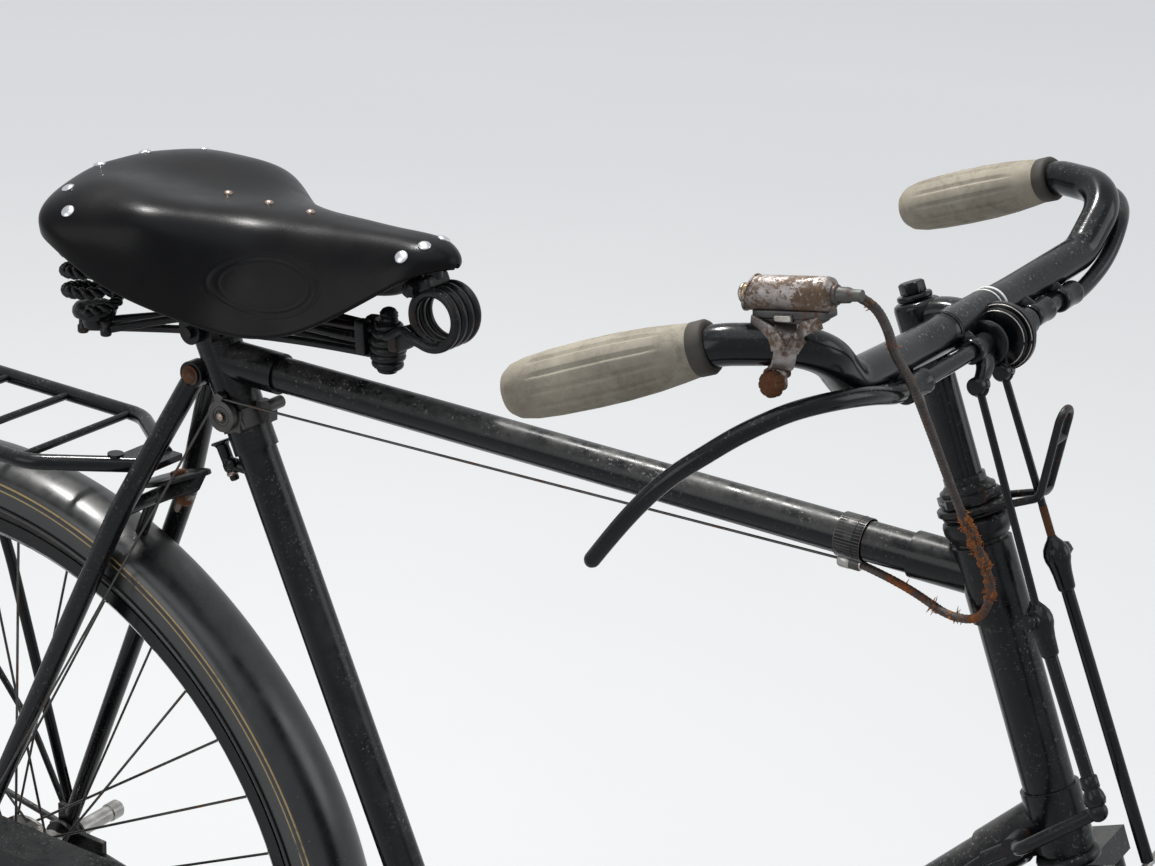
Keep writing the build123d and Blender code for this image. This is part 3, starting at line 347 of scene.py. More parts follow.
class Finish:
    """A node material with short calls for the patterns used here."""

    def __init__(self, name):
        self.material = bpy.data.materials.new(name)
        self.material.use_nodes = True
        self.tree = self.material.node_tree
        self.tree.nodes.clear()
        self.out = self.new("ShaderNodeOutputMaterial")
        self.shader = self.new("ShaderNodeBsdfPrincipled")
        self.join(self.shader.outputs["BSDF"], self.out.inputs["Surface"])
        self.place = self.new("ShaderNodeTexCoord").outputs["Object"]

    def new(self, kind, **settings):
        node = self.tree.nodes.new(kind)
        for key, value in settings.items():
            setattr(node, key, value)
        return node

    def join(self, source, target):
        self.tree.links.new(source, target)

    def stretched(self, scale, turn=(0, 0, 0)):
        """Object coordinates scaled and turned."""
        node = self.new("ShaderNodeMapping")
        self.join(self.place, node.inputs["Vector"])
        node.inputs["Scale"].default_value = scale
        node.inputs["Rotation"].default_value = turn
        return node.outputs["Vector"]

    def noise(self, scale, detail=4.0, roughness=0.55, distortion=0.0, at=None):
        node = self.new("ShaderNodeTexNoise")
        self.join(at or self.place, node.inputs["Vector"])
        node.inputs["Scale"].default_value = scale
        node.inputs["Detail"].default_value = detail
        node.inputs["Roughness"].default_value = roughness
        node.inputs["Distortion"].default_value = distortion
        return node.outputs["Fac"]

    def cells(self, scale, feature):
        node = self.new("ShaderNodeTexVoronoi", feature=feature)
        self.join(self.place, node.inputs["Vector"])
        node.inputs["Scale"].default_value = scale
        return node.outputs["Distance"]

    def band(self, value, low, high, to_low=0.0, to_high=1.0):
        """Value mapped from low..high to to_low..to_high and clamped."""
        node = self.new("ShaderNodeMapRange", clamp=True)
        self.join(value, node.inputs["Value"])
        node.inputs["From Min"].default_value = low
        node.inputs["From Max"].default_value = high
        node.inputs["To Min"].default_value = to_low
        node.inputs["To Max"].default_value = to_high
        return node.outputs["Result"]

    def maths(self, kind, a, b=None):
        """One step of arithmetic on numbers or sockets."""
        node = self.new("ShaderNodeMath", operation=kind)
        for k, v in enumerate((a, b)):
            if v is None:
                continue
            if isinstance(v, (int, float)):
                node.inputs[k].default_value = v
            else:
                self.join(v, node.inputs[k])
        return node.outputs["Value"]

    def plus(self, a, b):
        return self.maths("ADD", a, b)

    def less(self, a, b):
        return self.maths("SUBTRACT", a, b)

    def times(self, a, b):
        return self.maths("MULTIPLY", a, b)

    def mixed(self, amount, first, second):
        """Colour between two, by an amount."""
        node = self.new("ShaderNodeMix", data_type="RGBA", clamp_factor=True)
        self.join(amount, node.inputs[0])
        for k, colour in ((6, first), (7, second)):
            if isinstance(colour, tuple):
                node.inputs[k].default_value = colour + (1.0,)
            else:
                self.join(colour, node.inputs[k])
        return node.outputs[2]

    def axes(self):
        """Object coordinates as three numbers."""
        node = self.new("ShaderNodeSeparateXYZ")
        self.join(self.place, node.inputs[0])
        return node.outputs

    def facing_up(self):
        """How far the surface faces up, from its normal."""
        geometry = self.new("ShaderNodeNewGeometry")
        node = self.new("ShaderNodeSeparateXYZ")
        self.join(geometry.outputs["Normal"], node.inputs[0])
        return node.outputs[2]

    def bump(self, height, strength, distance):
        """Small relief from a height, over a distance in metres."""
        node = self.new("ShaderNodeBump")
        node.inputs["Strength"].default_value = strength
        node.inputs["Distance"].default_value = distance
        self.join(height, node.inputs["Height"])
        self.join(node.outputs["Normal"], self.shader.inputs["Normal"])

    def set(self, **values):
        """Writes numbers and colours on the shader's sockets, and joins patterns to them."""
        names = {"base": "Base Color", "rough": "Roughness", "metal": "Metallic",
                 "specular": "Specular IOR Level"}
        for key, value in values.items():
            socket = self.shader.inputs[names[key]]
            if isinstance(value, tuple):
                socket.default_value = value + (1.0,)
            elif isinstance(value, (int, float)):
                socket.default_value = value
            else:
                self.join(value, socket)
        return self


# grey of the chips, which on upward faces also serve as painted glint specks
CHIP_AND_GLINT_GREY = (0.34, 0.335, 0.32)
DUST_GREY = (0.17, 0.165, 0.15)


def black_enamel(name, dust, chips, gloss, rust=0.0):
    """Stoved black enamel: near black, cloudy, with speckled chips and dust on what faces up. The chips are
    partly a painted highlight: the pale specks grow on upward faces to stand for sun glints along the tops
    of the tubes. Gloss is the roughness of its cleanest places."""
    f = Finish(name)
    cloudy = f.noise(9.0, 5.0, 0.6)
    base = f.mixed(f.band(cloudy, 0.35, 0.7), (0.0030, 0.0034, 0.0046), (0.0080, 0.0084, 0.0098))
    fine = f.noise(420.0, 3.0, 0.7)
    patch = f.noise(30.0, 4.0, 0.6)
    up = f.band(f.facing_up(), 0.15, 0.85)
    speck = f.times(f.band(fine, 0.585, 0.67), f.band(patch, 0.42, 0.58))
    # chips, partly painted highlight: stronger on upward faces, where they stand for speckled sun glints
    speck = f.times(speck, f.band(up, 0.0, 1.0, 0.18, 1.0))
    speck = f.times(speck, chips)
    base = f.mixed(speck, base, CHIP_AND_GLINT_GREY)
    film = f.times(f.times(up, f.band(f.noise(55.0, 6.0, 0.7), 0.35, 0.75)), dust)
    base = f.mixed(film, base, DUST_GREY)
    if rust > 0:
        spot = f.times(f.band(f.noise(70.0, 6.0, 0.7, 0.6), 0.56, 0.68), rust)
        base = f.mixed(spot, base, f.mixed(fine, (0.11, 0.035, 0.012), (0.05, 0.022, 0.012)))
    scratch = f.noise(300.0, 2.0, 0.5, 0.0, f.stretched((1.0, 14.0, 14.0), turn=(0.3, 0.2, 0.5)))
    dulled = f.plus(f.times(film, 1.2), f.times(f.band(scratch, 0.55, 0.8), 0.25))
    rough = f.plus(f.band(dulled, 0.0, 1.0, gloss, 0.72), f.times(speck, 0.3))
    f.set(base=base, rough=rough, specular=0.22)
    f.bump(f.less(f.times(f.noise(160.0, 5.0, 0.6), 0.5), speck), 0.10, 0.0006)
    return f.material


def lined_enamel(name, axle, lines):
    """Mudguard enamel with worn gold lines on its sides, each at a radius from the wheel's axle and
    with half its width, in millimetres."""
    f = Finish(name)
    cloudy = f.noise(8.0, 5.0, 0.6)
    base = f.mixed(f.band(cloudy, 0.35, 0.7), (0.0032, 0.0036, 0.0048), (0.0085, 0.0088, 0.0102))
    x, y, z = f.axes()
    centre = metres(axle)
    dx = f.less(x, float(centre[0]))
    dz = f.less(z, float(centre[2]))
    r = f.maths("SQRT", f.plus(f.times(dx, dx), f.times(dz, dz)))
    side = f.maths("ABSOLUTE", y)
    gold = None
    for radius, half in lines:
        away = f.maths("ABSOLUTE", f.less(r, radius / 1000.0))
        line = f.band(away, half * 0.75 / 1000.0, half * 1.15 / 1000.0, 1.0, 0.0)
        gold = line if gold is None else f.maths("MAXIMUM", gold, line)
    worn = f.band(f.noise(38.0, 5.0, 0.75), 0.30, 0.46)
    gold = f.times(gold, worn)
    gold = f.times(gold, f.band(side, 0.012, 0.013))
    base = f.mixed(gold, base, f.mixed(f.noise(90.0), (0.50, 0.34, 0.12), (0.34, 0.24, 0.10)))
    fine = f.noise(420.0, 3.0, 0.7)
    up = f.band(f.facing_up(), 0.25, 0.95)
    speck = f.times(f.band(fine, 0.66, 0.73), f.band(f.noise(30.0, 4.0), 0.45, 0.65))
    base = f.mixed(speck, base, (0.24, 0.235, 0.225))
    # dust and painted sheen: a grey film, strongest on upward faces, stands partly for dust and partly for
    # the sky's sheen on the guard's top
    film = f.times(f.band(up, 0.0, 1.0, 0.25, 1.0), f.band(f.noise(40.0, 6.0, 0.7), 0.35, 0.8))
    film = f.times(film, 0.30)
    base = f.mixed(film, base, (0.16, 0.155, 0.14))
    f.set(base=base, rough=f.band(film, 0.0, 0.3, 0.26, 0.5), specular=0.6)
    f.bump(f.less(f.noise(26.0, 4.0), speck), 0.05, 0.002)
    return f.material


def polished_leather(name):
    """Black hide rubbed smooth: fine creases, dull patches, a soft wax shine along its ridges."""
    f = Finish(name)
    tone = f.noise(14.0, 5.0, 0.65)
    base = f.mixed(f.band(tone, 0.3, 0.72), (0.0028, 0.0028, 0.0035), (0.0072, 0.0068, 0.0072))
    scuff = f.band(f.noise(120.0, 6.0, 0.75, 0.5, f.stretched((0.5, 1.6, 1.6))), 0.62, 0.78)
    base = f.mixed(f.times(scuff, 0.5), base, (0.035, 0.032, 0.032))
    rough = f.band(f.noise(46.0, 5.0, 0.6), 0.25, 0.8, 0.25, 0.38)
    rough = f.plus(rough, f.times(scuff, 0.2))
    f.set(base=base, rough=rough, specular=0.1)
    grain = f.cells(900.0, "F1")
    crease = f.noise(70.0, 7.0, 0.7, 0.8, f.stretched((0.6, 1.4, 1.4)))
    f.bump(f.plus(f.times(grain, 0.45), crease), 0.09, 0.0008)
    return f.material


RUST_BROWN = ((0.16, 0.055, 0.018), (0.06, 0.025, 0.013))


def bare_metal(name, light, dark, rough, rust, rust_tone=RUST_BROWN, metal=1.0, scale=1.0):
    """Plated or bare metal gone dull, with rust that starts in spots and runs together."""
    f = Finish(name)
    tone = f.noise(60.0 * scale, 5.0, 0.6)
    base = f.mixed(f.band(tone, 0.3, 0.7), dark, light)
    grains = f.noise(260.0 * scale, 6.0, 0.72, 0.4)
    area = f.noise(34.0 * scale, 4.0, 0.6)
    eaten = f.band(f.plus(f.times(grains, 0.6), f.times(area, 0.6)),
                   0.80 - rust * 0.42, 0.88 - rust * 0.42)
    brown = f.mixed(f.band(f.noise(500.0 * scale, 4.0, 0.8), 0.3, 0.7), rust_tone[0], rust_tone[1])
    base = f.mixed(eaten, base, brown)
    metallic = f.band(eaten, 0.0, 1.0, metal, 0.05)
    worn = f.plus(f.band(tone, 0.3, 0.7, rough[0], rough[1]), f.times(eaten, 0.35))
    f.set(base=base, metal=metallic, rough=worn, specular=0.5)
    f.bump(f.plus(f.times(eaten, 0.8), grains), 0.22, 0.0006)
    return f.material


def aged_rubber(name, light, dark, rough, crack=0.3, dirt=None):
    """Old rubber: chalky bloom, small cracks and ground-in dirt."""
    f = Finish(name)
    tone = f.noise(24.0, 6.0, 0.7)
    base = f.mixed(f.band(tone, 0.28, 0.72), dark, light)
    pits = f.band(f.noise(520.0, 3.0, 0.7), 0.6, 0.72)
    base = f.mixed(f.times(pits, 0.6), base, dark)
    if dirt:
        smear = f.band(f.noise(50.0, 6.0, 0.7, 0.6), 0.5, 0.7)
        base = f.mixed(f.times(smear, 0.6), base, dirt)
    cracks = f.band(f.cells(230.0, "DISTANCE_TO_EDGE"), 0.0, 0.05, 1.0, 0.0)
    cracks = f.times(cracks, f.band(f.noise(40.0), 0.5, 0.7))
    base = f.mixed(f.times(cracks, crack), base, dark)
    f.set(base=base, rough=f.band(tone, 0.3, 0.7, rough - 0.1, rough + 0.1), specular=0.35)
    f.bump(f.less(f.noise(350.0, 5.0), f.times(cracks, 0.8)), 0.25, 0.0006)
    return f.material


def rusty_cable(name):
    """Cable cover: black-brown varnished braid over spiral wire, with orange rust in patches."""
    f = Finish(name)
    z = f.axes()[2]
    tone = f.noise(120.0, 6.0, 0.7)
    base = f.mixed(f.band(tone, 0.35, 0.7), (0.026, 0.020, 0.018), (0.095, 0.072, 0.062))
    grains = f.noise(420.0, 6.0, 0.75)
    area = f.noise(38.0, 3.0, 0.5)
    low = f.band(z, -0.055, -0.10, 0.0, 0.05)
    patchy = f.plus(f.times(grains, 0.45), f.times(area, 0.75))
    eaten = f.band(f.plus(patchy, low), 0.66, 0.76)
    orange = f.mixed(f.band(f.noise(700.0, 4.0, 0.8), 0.32, 0.66), (0.34, 0.10, 0.022),
                     (0.11, 0.042, 0.018))
    base = f.mixed(eaten, base, orange)
    rough = f.band(eaten, 0.0, 1.0, 0.5, 0.95)
    f.set(base=base, rough=rough, metal=f.band(eaten, 0.0, 1.0, 0.15, 0.0), specular=0.4)
    f.bump(f.plus(grains, f.times(eaten, 0.9)), 0.55, 0.0009)
    return f.material


ENAMEL = black_enamel("frame_enamel", dust=0.55, chips=1.0, gloss=0.2)
CLEAN_ENAMEL = black_enamel("bar_enamel", dust=0.10, chips=0.35, gloss=0.17)
DULL_ENAMEL = black_enamel("undercarriage_enamel", dust=0.18, chips=0.4, gloss=0.3, rust=0.35)
RUSTY_ENAMEL = black_enamel("worn_enamel", dust=0.2, chips=0.9, gloss=0.32, rust=0.75)
GOLD_LINES = [(356.5, 0.75), (361.5, 0.75)]
REAR_GUARD_PAINT = lined_enamel("rear_guard_enamel", REAR_AXLE, GOLD_LINES)
FRONT_GUARD_PAINT = lined_enamel("front_guard_enamel", FRONT_AXLE, GOLD_LINES)
LEATHER = polished_leather("saddle_leather_black")
PLATED = bare_metal("dull_plating", (0.42, 0.41, 0.39), (0.25, 0.24, 0.23), (0.25, 0.42), rust=0.28)
DARK_STEEL = bare_metal("dark_steel", (0.10, 0.098, 0.095), (0.045, 0.043, 0.042), (0.35, 0.55), rust=0.35)
RUST = bare_metal("rusted_steel", (0.17, 0.13, 0.10), (0.07, 0.055, 0.045), (0.5, 0.7), rust=0.75)
RIVET = bare_metal("rivet_plating", (0.74, 0.74, 0.76), (0.56, 0.56, 0.58), (0.2, 0.35), rust=0.02)
COPPER = bare_metal("rivet_copper", (0.40, 0.31, 0.26), (0.20, 0.15, 0.12), (0.3, 0.5), rust=0.2,
                    rust_tone=((0.05, 0.028, 0.02), (0.02, 0.015, 0.012)))
BRASS = bare_metal("worn_brass", (0.56, 0.44, 0.24), (0.30, 0.22, 0.12), (0.26, 0.42), rust=0.22)
PATINA = bare_metal("control_patina", (0.34, 0.31, 0.30), (0.17, 0.145, 0.13), (0.34, 0.55), rust=0.55,
                    rust_tone=((0.17, 0.10, 0.055), (0.075, 0.05, 0.035)), metal=0.85, scale=1.6)
SILVER_WORN = bare_metal("worn_silver", (0.55, 0.53, 0.50), (0.24, 0.21, 0.19), (0.3, 0.5), rust=0.45)
TYRE_RUBBER = aged_rubber("tyre_rubber", (0.032, 0.031, 0.029), (0.014, 0.014, 0.014), 0.78, 0.5,
                          dirt=(0.07, 0.062, 0.048))
BLOCK_RUBBER = aged_rubber("brake_and_pedal_rubber", (0.03, 0.028, 0.027), (0.013, 0.013, 0.013), 0.8)
GRIP_RUBBER = aged_rubber("grip_rubber_grey_brown", (0.40, 0.36, 0.285), (0.19, 0.165, 0.125), 0.7, 0.6,
                          dirt=(0.12, 0.10, 0.072))
GRIP_DARK = aged_rubber("grip_end_rubber", (0.075, 0.066, 0.055), (0.03, 0.027, 0.023), 0.7)
CABLE = rusty_cable("cable_cover_rust")
FRAYED = bare_metal("frayed_rust", (0.36, 0.12, 0.03), (0.20, 0.07, 0.02), (0.8, 0.95), rust=0.4, metal=0.0,
                    rust_tone=((0.40, 0.13, 0.03), (0.16, 0.06, 0.02)))
WHITE_LINE = aged_rubber("white_ring_paint", (0.86, 0.86, 0.84), (0.62, 0.61, 0.58), 0.42, 0.1)

# the nodes that wear each finish
NODE_FINISH = [
    (ENAMEL, ["head_tube_and_lugs", "seat_tube_and_lug", "top_tube", "down_tube", "chain_stays",
              "bottom_bracket_shell", "seat_stays", "rear_mudguard_stays", "chaincase", "fork",
              "front_mudguard_stays"]),
    (CLEAN_ENAMEL, ["carrier", "handlebar_and_stem", "brake_lever_right", "brake_lever_left",
                    "rear_brake_rod_upper", "front_brake_rod", "pump_peg", "rear_wheel_rim",
                    "front_wheel_rim"]),
    (DULL_ENAMEL, ["saddle_wires_and_cantle", "saddle_clip", "carrier_clamp", "rear_brake_cranks",
                   "rear_brake_rod_lower", "saddle_rear_springs", "saddle_front_spring"]),
    (RUSTY_ENAMEL, ["headset_cups", "lamp_bracket", "headset_locknut"]),
    (PLATED, ["rear_spindle_nuts_and_step", "front_spindle_and_nuts", "front_brake_stirrup",
              "rear_brake_stirrup", "rear_wheel_hub", "front_wheel_hub", "cranks_and_chainwheel"]),
    (DARK_STEEL, ["seat_pin", "chain", "gear_cable_guides", "gear_wire", "rear_wheel_spokes",
                  "rear_wheel_sprocket", "front_wheel_spokes", "pedal_right", "pedal_left"]),
    (BLOCK_RUBBER, ["front_brake_blocks", "rear_brake_blocks", "pedal_rubbers_right",
                    "pedal_rubbers_left"]),
    (TYRE_RUBBER, ["rear_wheel_tyre", "front_wheel_tyre"]),
    (RUST, ["seat_stay_bolt"]),
    (REAR_GUARD_PAINT, ["rear_mudguard"]),
    (FRONT_GUARD_PAINT, ["front_mudguard"]),
    (LEATHER, ["saddle_leather"]),
    (GRIP_RUBBER, ["grips"]),
    (PATINA, ["gear_control"]),
    (CABLE, ["gear_cable"]),
]
for finish, names in NODE_FINISH:
    for node_name in names:
        slots = nodes[node_name].material_slots
        for place in slots:
            place.material = finish
        if len(slots) == 0:
            nodes[node_name].data.materials.append(finish)

# Gear cable, one free cord
CABLE_ROUTE = [(313.5, -209, 778.2), (326, -204, 775), (328, -186, 756), (320, -160, 735), (319, -130, 710),
               (320.5, -105, 678), (321, -80, 647), (324, -55, 612), (331, -40, 586), (341, -35, 562),
               (334, -29.5, 538), (310, -21, 530), (286, -12, 534), (262, -6, 537), (240, 0, 537.3)]
route = metres(CABLE_ROUTE)
curve = bpy.data.curves.new("cable_line", "CURVE")
curve.dimensions = "3D"
curve.resolution_u = 24
spline = curve.splines.new("NURBS")
spline.points.add(len(route) - 1)
spline.points.foreach_set("co", np.concatenate([route, np.ones((len(route), 1))], axis=1).ravel())
spline.order_u = 3
spline.use_endpoint_u = True

# the cable's line is read from that spline, because a cable that bends at the head is a mesh
line_piece = bpy.data.objects.new("cable_line", curve)
line_mesh = bpy.data.meshes.new_from_object(line_piece)
cable_line = np.zeros(len(line_mesh.vertices) * 3)
line_mesh.vertices.foreach_get("co", cable_line)
cable_line = cable_line.reshape(-1, 3) * 1000.0 + SEAT_POINT
bpy.data.objects.remove(line_piece)
bpy.data.meshes.remove(line_mesh)
bpy.data.curves.remove(curve)
CABLE_R = 2.6
COVER_STEP = 0.55
WINDING = 3.2
WINDING_SWELL = 0.035
# how many rows on each side the path is averaged over
SMOOTH_REACH = 6


def cable_cover(line, radius):
    """Wound cover: a circle carried along the cable's line, whose radius swells a little once per turn
    of the winding, as a cosine of the length along it."""
    run = run_along(line)
    fine = np.linspace(0, run[-1], int(run[-1] / COVER_STEP))
    path = np.stack([np.interp(fine, run, line[:, k]) for k in range(3)], axis=1)
    window = np.ones(2 * SMOOTH_REACH + 1) / (2 * SMOOTH_REACH + 1)
    padded = np.pad(path, ((SMOOTH_REACH, SMOOTH_REACH), (0, 0)), mode="reflect", reflect_type="odd")
    smooth = np.stack([np.convolve(padded[:, k], window, mode="valid") for k in range(3)], axis=1)
    swell = radius * (1 + WINDING_SWELL * np.cos(2 * math.pi * fine / WINDING))
    return round_bar(smooth, swell, 14), smooth


# place, reach and strength of each burst in the cover
FRAYS = [((322, -201, 773), 5.0, 0.35), ((325, -170, 745), 5.0, 0.3), ((326, -50, 603), 11.0, 1.0),
         ((330, -42, 591), 11.0, 1.0), ((337, -37, 575), 12.0, 1.0), ((340, -35, 561), 9.0, 0.8),
         ((314, -22, 531), 6.0, 0.5), ((300, -17.5, 531), 5.0, 0.6), ((270, -8, 536), 8.0, 0.25)]
FRAY_SEED = 11
FIBRES = 230
OPEN_FROM = 0.12


def fray_amount(points):
    """Largest of the bell curves of the distance to the places where the cover has burst."""
    amount = np.zeros(len(points))
    for spot, width, share in FRAYS:
        away = np.linalg.norm(points - np.array(spot), axis=1)
        amount = np.maximum(amount, share * np.exp(-(away / width) ** 2))
    return amount


cover_grid, cover_path = cable_cover(cable_line, CABLE_R)
dice = np.random.default_rng(FRAY_SEED)
burst = fray_amount(cover_path)
lumps = dice.normal(size=cover_grid.shape[:2])
lumps = sum(np.roll(lumps, k, axis=0) for k in range(-3, 4)) / 4.0
lumps = np.clip(lumps + 0.3, 0, 2.2)
frays = Shells()
swollen = 0.80 + 0.75 * burst[:, None] * np.clip(lumps * 1.5 - 0.5, 0, 1.6)
lumpy = cover_path[:, None, :] + (cover_grid - cover_path[:, None, :]) * swollen[..., None]
turns_open = np.diff(np.concatenate([[0], (burst > OPEN_FROM).astype(int), [0]]))
for first_row, last_row in zip(np.flatnonzero(turns_open == 1), np.flatnonzero(turns_open == -1)):
    frays.add(lumpy[first_row:last_row])
fibre_share = np.cumsum(burst ** 1.5)
for k in np.searchsorted(fibre_share, dice.uniform(0, fibre_share[-1], FIBRES)):
    k = int(np.clip(k, 2, len(cover_path) - 3))
    way = unit(cover_path[k + 2] - cover_path[k - 2])
    first, second = across_frame(way)
    turn = dice.uniform(0, 2 * math.pi)
    out = math.cos(turn) * first + math.sin(turn) * second
    length = dice.uniform(0.8, 2.8)
    t = np.linspace(0, 1, 5)[:, None]
    curl = dice.normal(size=3) * length * 0.45
    lean = way * dice.normal() * length * 0.6
    fibre = cover_path[k] + out * (CABLE_R * 0.8 + length * t) + lean * t + curl * t ** 2
    frays.add(round_bar(fibre, np.linspace(0.5, 0.16, 5), 5))
cable = make("gear_cable_cover", Shells().add(cover_grid), [CABLE], None, ["gear_cable"],
             crease=80)
burst_cover = make("gear_cable_frays", frays, [FRAYED], None, crease=80)
for piece in (cable, burst_cover):
    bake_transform(piece)

# Saddle leather

# place along, crest height, then side offset and height of crown, shoulder, flank and hem
SADDLE_STATIONS = [
    (-68.0, 665.0, 1.0, 664.9, 1.8, 664.5, 2.3, 663.9, 2.5, 663.3),
    (-70.5, 670.0, 3.6, 669.6, 6.0, 668.3, 7.8, 666.2, 8.4, 663.7),
    (-78, 674.6, 7.0, 674.0, 11.8, 671.6, 15.4, 667.8, 17.2, 662.6),
    (-92, 677.6, 9.6, 676.9, 17.5, 673.6, 24.0, 667.0, 29.0, 656.5),
    (-121, 677.5, 11, 676.6, 22, 670.6, 32.5, 657, 42, 636),
    (-160, 676.5, 13, 675.4, 27, 668.6, 42, 649, 60, 613),
    (-208, 676, 18, 674.6, 36, 667.5, 54, 644, 69, 604),
    (-240, 675.5, 34, 675.6, 58, 667.5, 72, 644, 77, 608),
    (-270, 676, 50, 679.6, 77, 673, 87, 655, 90, 618),
    (-305, 679, 56, 683, 87, 672, 97, 656, 98, 631),
    (-337, 682.5, 52, 683.5, 88, 672, 101, 659, 99, 646),
    (-355, 683.5, 38, 682.5, 72, 674.5, 89, 664, 89, 652),
    (-364, 682, 26, 681, 50, 675.5, 64, 668, 64, 657),
    (-368.5, 678, 18, 677, 34, 672.5, 43, 667, 43, 659.5),
]


def saddle_points(u, v):
    """Leather at a share u from nose to cantle and v from right hem to left hem. Across each station a
    natural cubic runs through hem, flank, shoulder, crown and crest by the root of the chord, and
    along, another runs through the stations."""
    table = np.array(SADDLE_STATIONS, float)
    stations = np.zeros((len(table), 9, 3))
    side_y = np.stack([np.zeros(len(table)), table[:, 2], table[:, 4], table[:, 6], table[:, 8]], axis=1)
    side_z = table[:, [1, 3, 5, 7, 9]]
    stations[:, :, 0] = table[:, 0][:, None]
    stations[:, 4:, 1] = side_y
    stations[:, 4:, 2] = side_z
    stations[:, :4, 1] = -side_y[:, :0:-1]
    stations[:, :4, 2] = side_z[:, :0:-1]
    chords = np.sqrt(np.linalg.norm(np.diff(stations, axis=1), axis=2))
    knots = np.concatenate([np.zeros((len(table), 1)), np.cumsum(chords, axis=1)], axis=1)
    knots = 2 * knots / knots[:, -1:] - 1
    # shares even in length along each station, then a curve through the stations for each share
    fine = np.linspace(-1, 1, 400)
    across = []
    for row, knot in zip(stations, knots):
        line = natural_curve(row, knot, fine)
        run = run_along(line)
        across.append(np.stack([np.interp((v + 1) / 2 * run[-1], run, line[:, k]) for k in range(3)],
                               axis=1))
    across = np.stack(across)
    middle = np.linalg.norm(np.diff(stations[:, 4], axis=0), axis=1)
    edge = np.linalg.norm(np.diff(stations[:, 7], axis=0), axis=1)
    run = np.concatenate([[0], np.cumsum(np.sqrt(0.5 * middle + 0.5 * edge))])
    return natural_curve(across, run / run[-1], u)


def surface_normals(grid):
    """Unit normals of a grid, from the cross product of its two slopes."""
    return unit(np.cross(np.gradient(grid, axis=0), np.gradient(grid, axis=1)))


OVAL_X = -187.0
OVAL_Z = 637.0
OVAL_HALF_LONG = 39.5
OVAL_HALF_HIGH = 19.0
OVAL_TILT = 0.02


def embossed(grid, normal):
    """Plain oval border pressed into each side: two shallow grooves of an ellipse in the side view."""
    dx = (grid[..., 0] - OVAL_X) / OVAL_HALF_LONG
    dz = (grid[..., 2] - OVAL_Z - OVAL_TILT * (grid[..., 0] - OVAL_X)) / OVAL_HALF_HIGH
    e = np.sqrt(dx ** 2 + dz ** 2)
    side = np.clip((np.abs(grid[..., 1]) - 30) / 6, 0, 1)
    groove = np.exp(-((e - 1.0) / 0.030) ** 2) + 0.7 * np.exp(-((e - 0.82) / 0.032) ** 2)
    swell = 0.35 * np.exp(-((e - 0.9) / 0.16) ** 2)
    return grid + normal * ((swell - 0.42 * groove) * side)[..., None]


LEATHER_ROWS = 256
LEATHER_COLUMNS = 175
LEATHER_MIDDLE = LEATHER_COLUMNS // 2
LEATHER_THICK = 4.6
LIP_TURN = np.linspace(0, math.pi, 7)[1:-1]
LIP_POINTS = len(LIP_TURN)

# rows and columns lie closer together where the oval is pressed in
share = np.linspace(0, 1, 2001)
even_points = saddle_points(share, np.array([-0.45, 0.0]))[:, 0]
closer = 1.0 + 1.3 * np.exp(-((even_points[1:, 0] - OVAL_X) / 38) ** 4)
steps_there = np.linalg.norm(np.diff(even_points, axis=0), axis=1) * closer
length_there = np.concatenate([[0], np.cumsum(steps_there)])
u_share = np.interp(np.linspace(0, length_there[-1], LEATHER_ROWS), length_there, share)
v_base = np.linspace(-1, 1, 2001)
v_run = np.cumsum(1.0 + 1.1 * np.exp(-((np.abs(v_base) - 0.66) / 0.26) ** 4))
v_share = np.interp(np.linspace(v_run[0], v_run[-1], LEATHER_COLUMNS), v_run, v_base)
v_share[LEATHER_MIDDLE] = 0.0
leather = saddle_points(u_share, v_share)
leather_way = surface_normals(leather)
if leather_way[LEATHER_ROWS // 2, LEATHER_MIDDLE, 2] < 0:
    leather_way = -leather_way
ripple = 0.14 * np.sin(leather[..., 0] * 0.11) * np.sin(leather[..., 1] * 0.06)
outer = embossed(leather, leather_way) + leather_way * ripple[..., None]
inner = leather - leather_way * LEATHER_THICK


def hem_lip(edge, within, before, sense):
    """Lip that joins the two skins at a hem: half an ellipse between them, which swells away from the
    column before the edge."""
    across = (edge - within) / 2 * sense * np.cos(LIP_TURN)[None, :, None]
    swell = unit(edge - before) * (LEATHER_THICK / 2 * np.sin(LIP_TURN))[None, :, None]
    return (edge + within) / 2 + across + swell


lip_left = hem_lip(outer[:, -1:], inner[:, -1:], outer[:, -3:-2], 1)
lip_right = hem_lip(outer[:, :1], inner[:, :1], outer[:, 2:3], -1)
skin = np.concatenate([outer, lip_left, inner[:, ::-1], lip_right], axis=1)

# the open ends at nose and cantle are closed by a strip between the skins and a cap at each lip
saddle = Shells()
saddle.add(skin, closed_ends=False)
cols = outer.shape[1]
ring_count = skin.shape[1]
for row in (0, len(skin) - 1):
    base = row * ring_count
    k = np.arange(cols - 1)
    opposite = 2 * cols + LIP_POINTS - 1 - k
    strip = np.stack([base + k, base + k + 1, base + opposite - 1, base + opposite], axis=1)
    left_cap = base + cols - 1 + np.arange(LIP_POINTS + 2)
    right_cap = np.append(base + 2 * cols + LIP_POINTS - 1 + np.arange(LIP_POINTS + 1), base)
    if row:
        strip = strip[:, ::-1]
        left_cap = left_cap[::-1]
        right_cap = right_cap[::-1]
    saddle.faces += strip.tolist() + [left_cap.tolist(), right_cap.tolist()]
    saddle.finish += [0] * (len(strip) + 2)
make("saddle_top", saddle, [LEATHER], "frame", ["saddle_leather"], crease=50)


def on_leather(x, y, z):
    """Nearest point of the leather to a place, and its outward way there."""
    gap = np.linalg.norm(leather - np.array([x, y, z]), axis=-1)
    k = np.unravel_index(np.argmin(gap), gap.shape)
    return leather[k], leather_way[k]


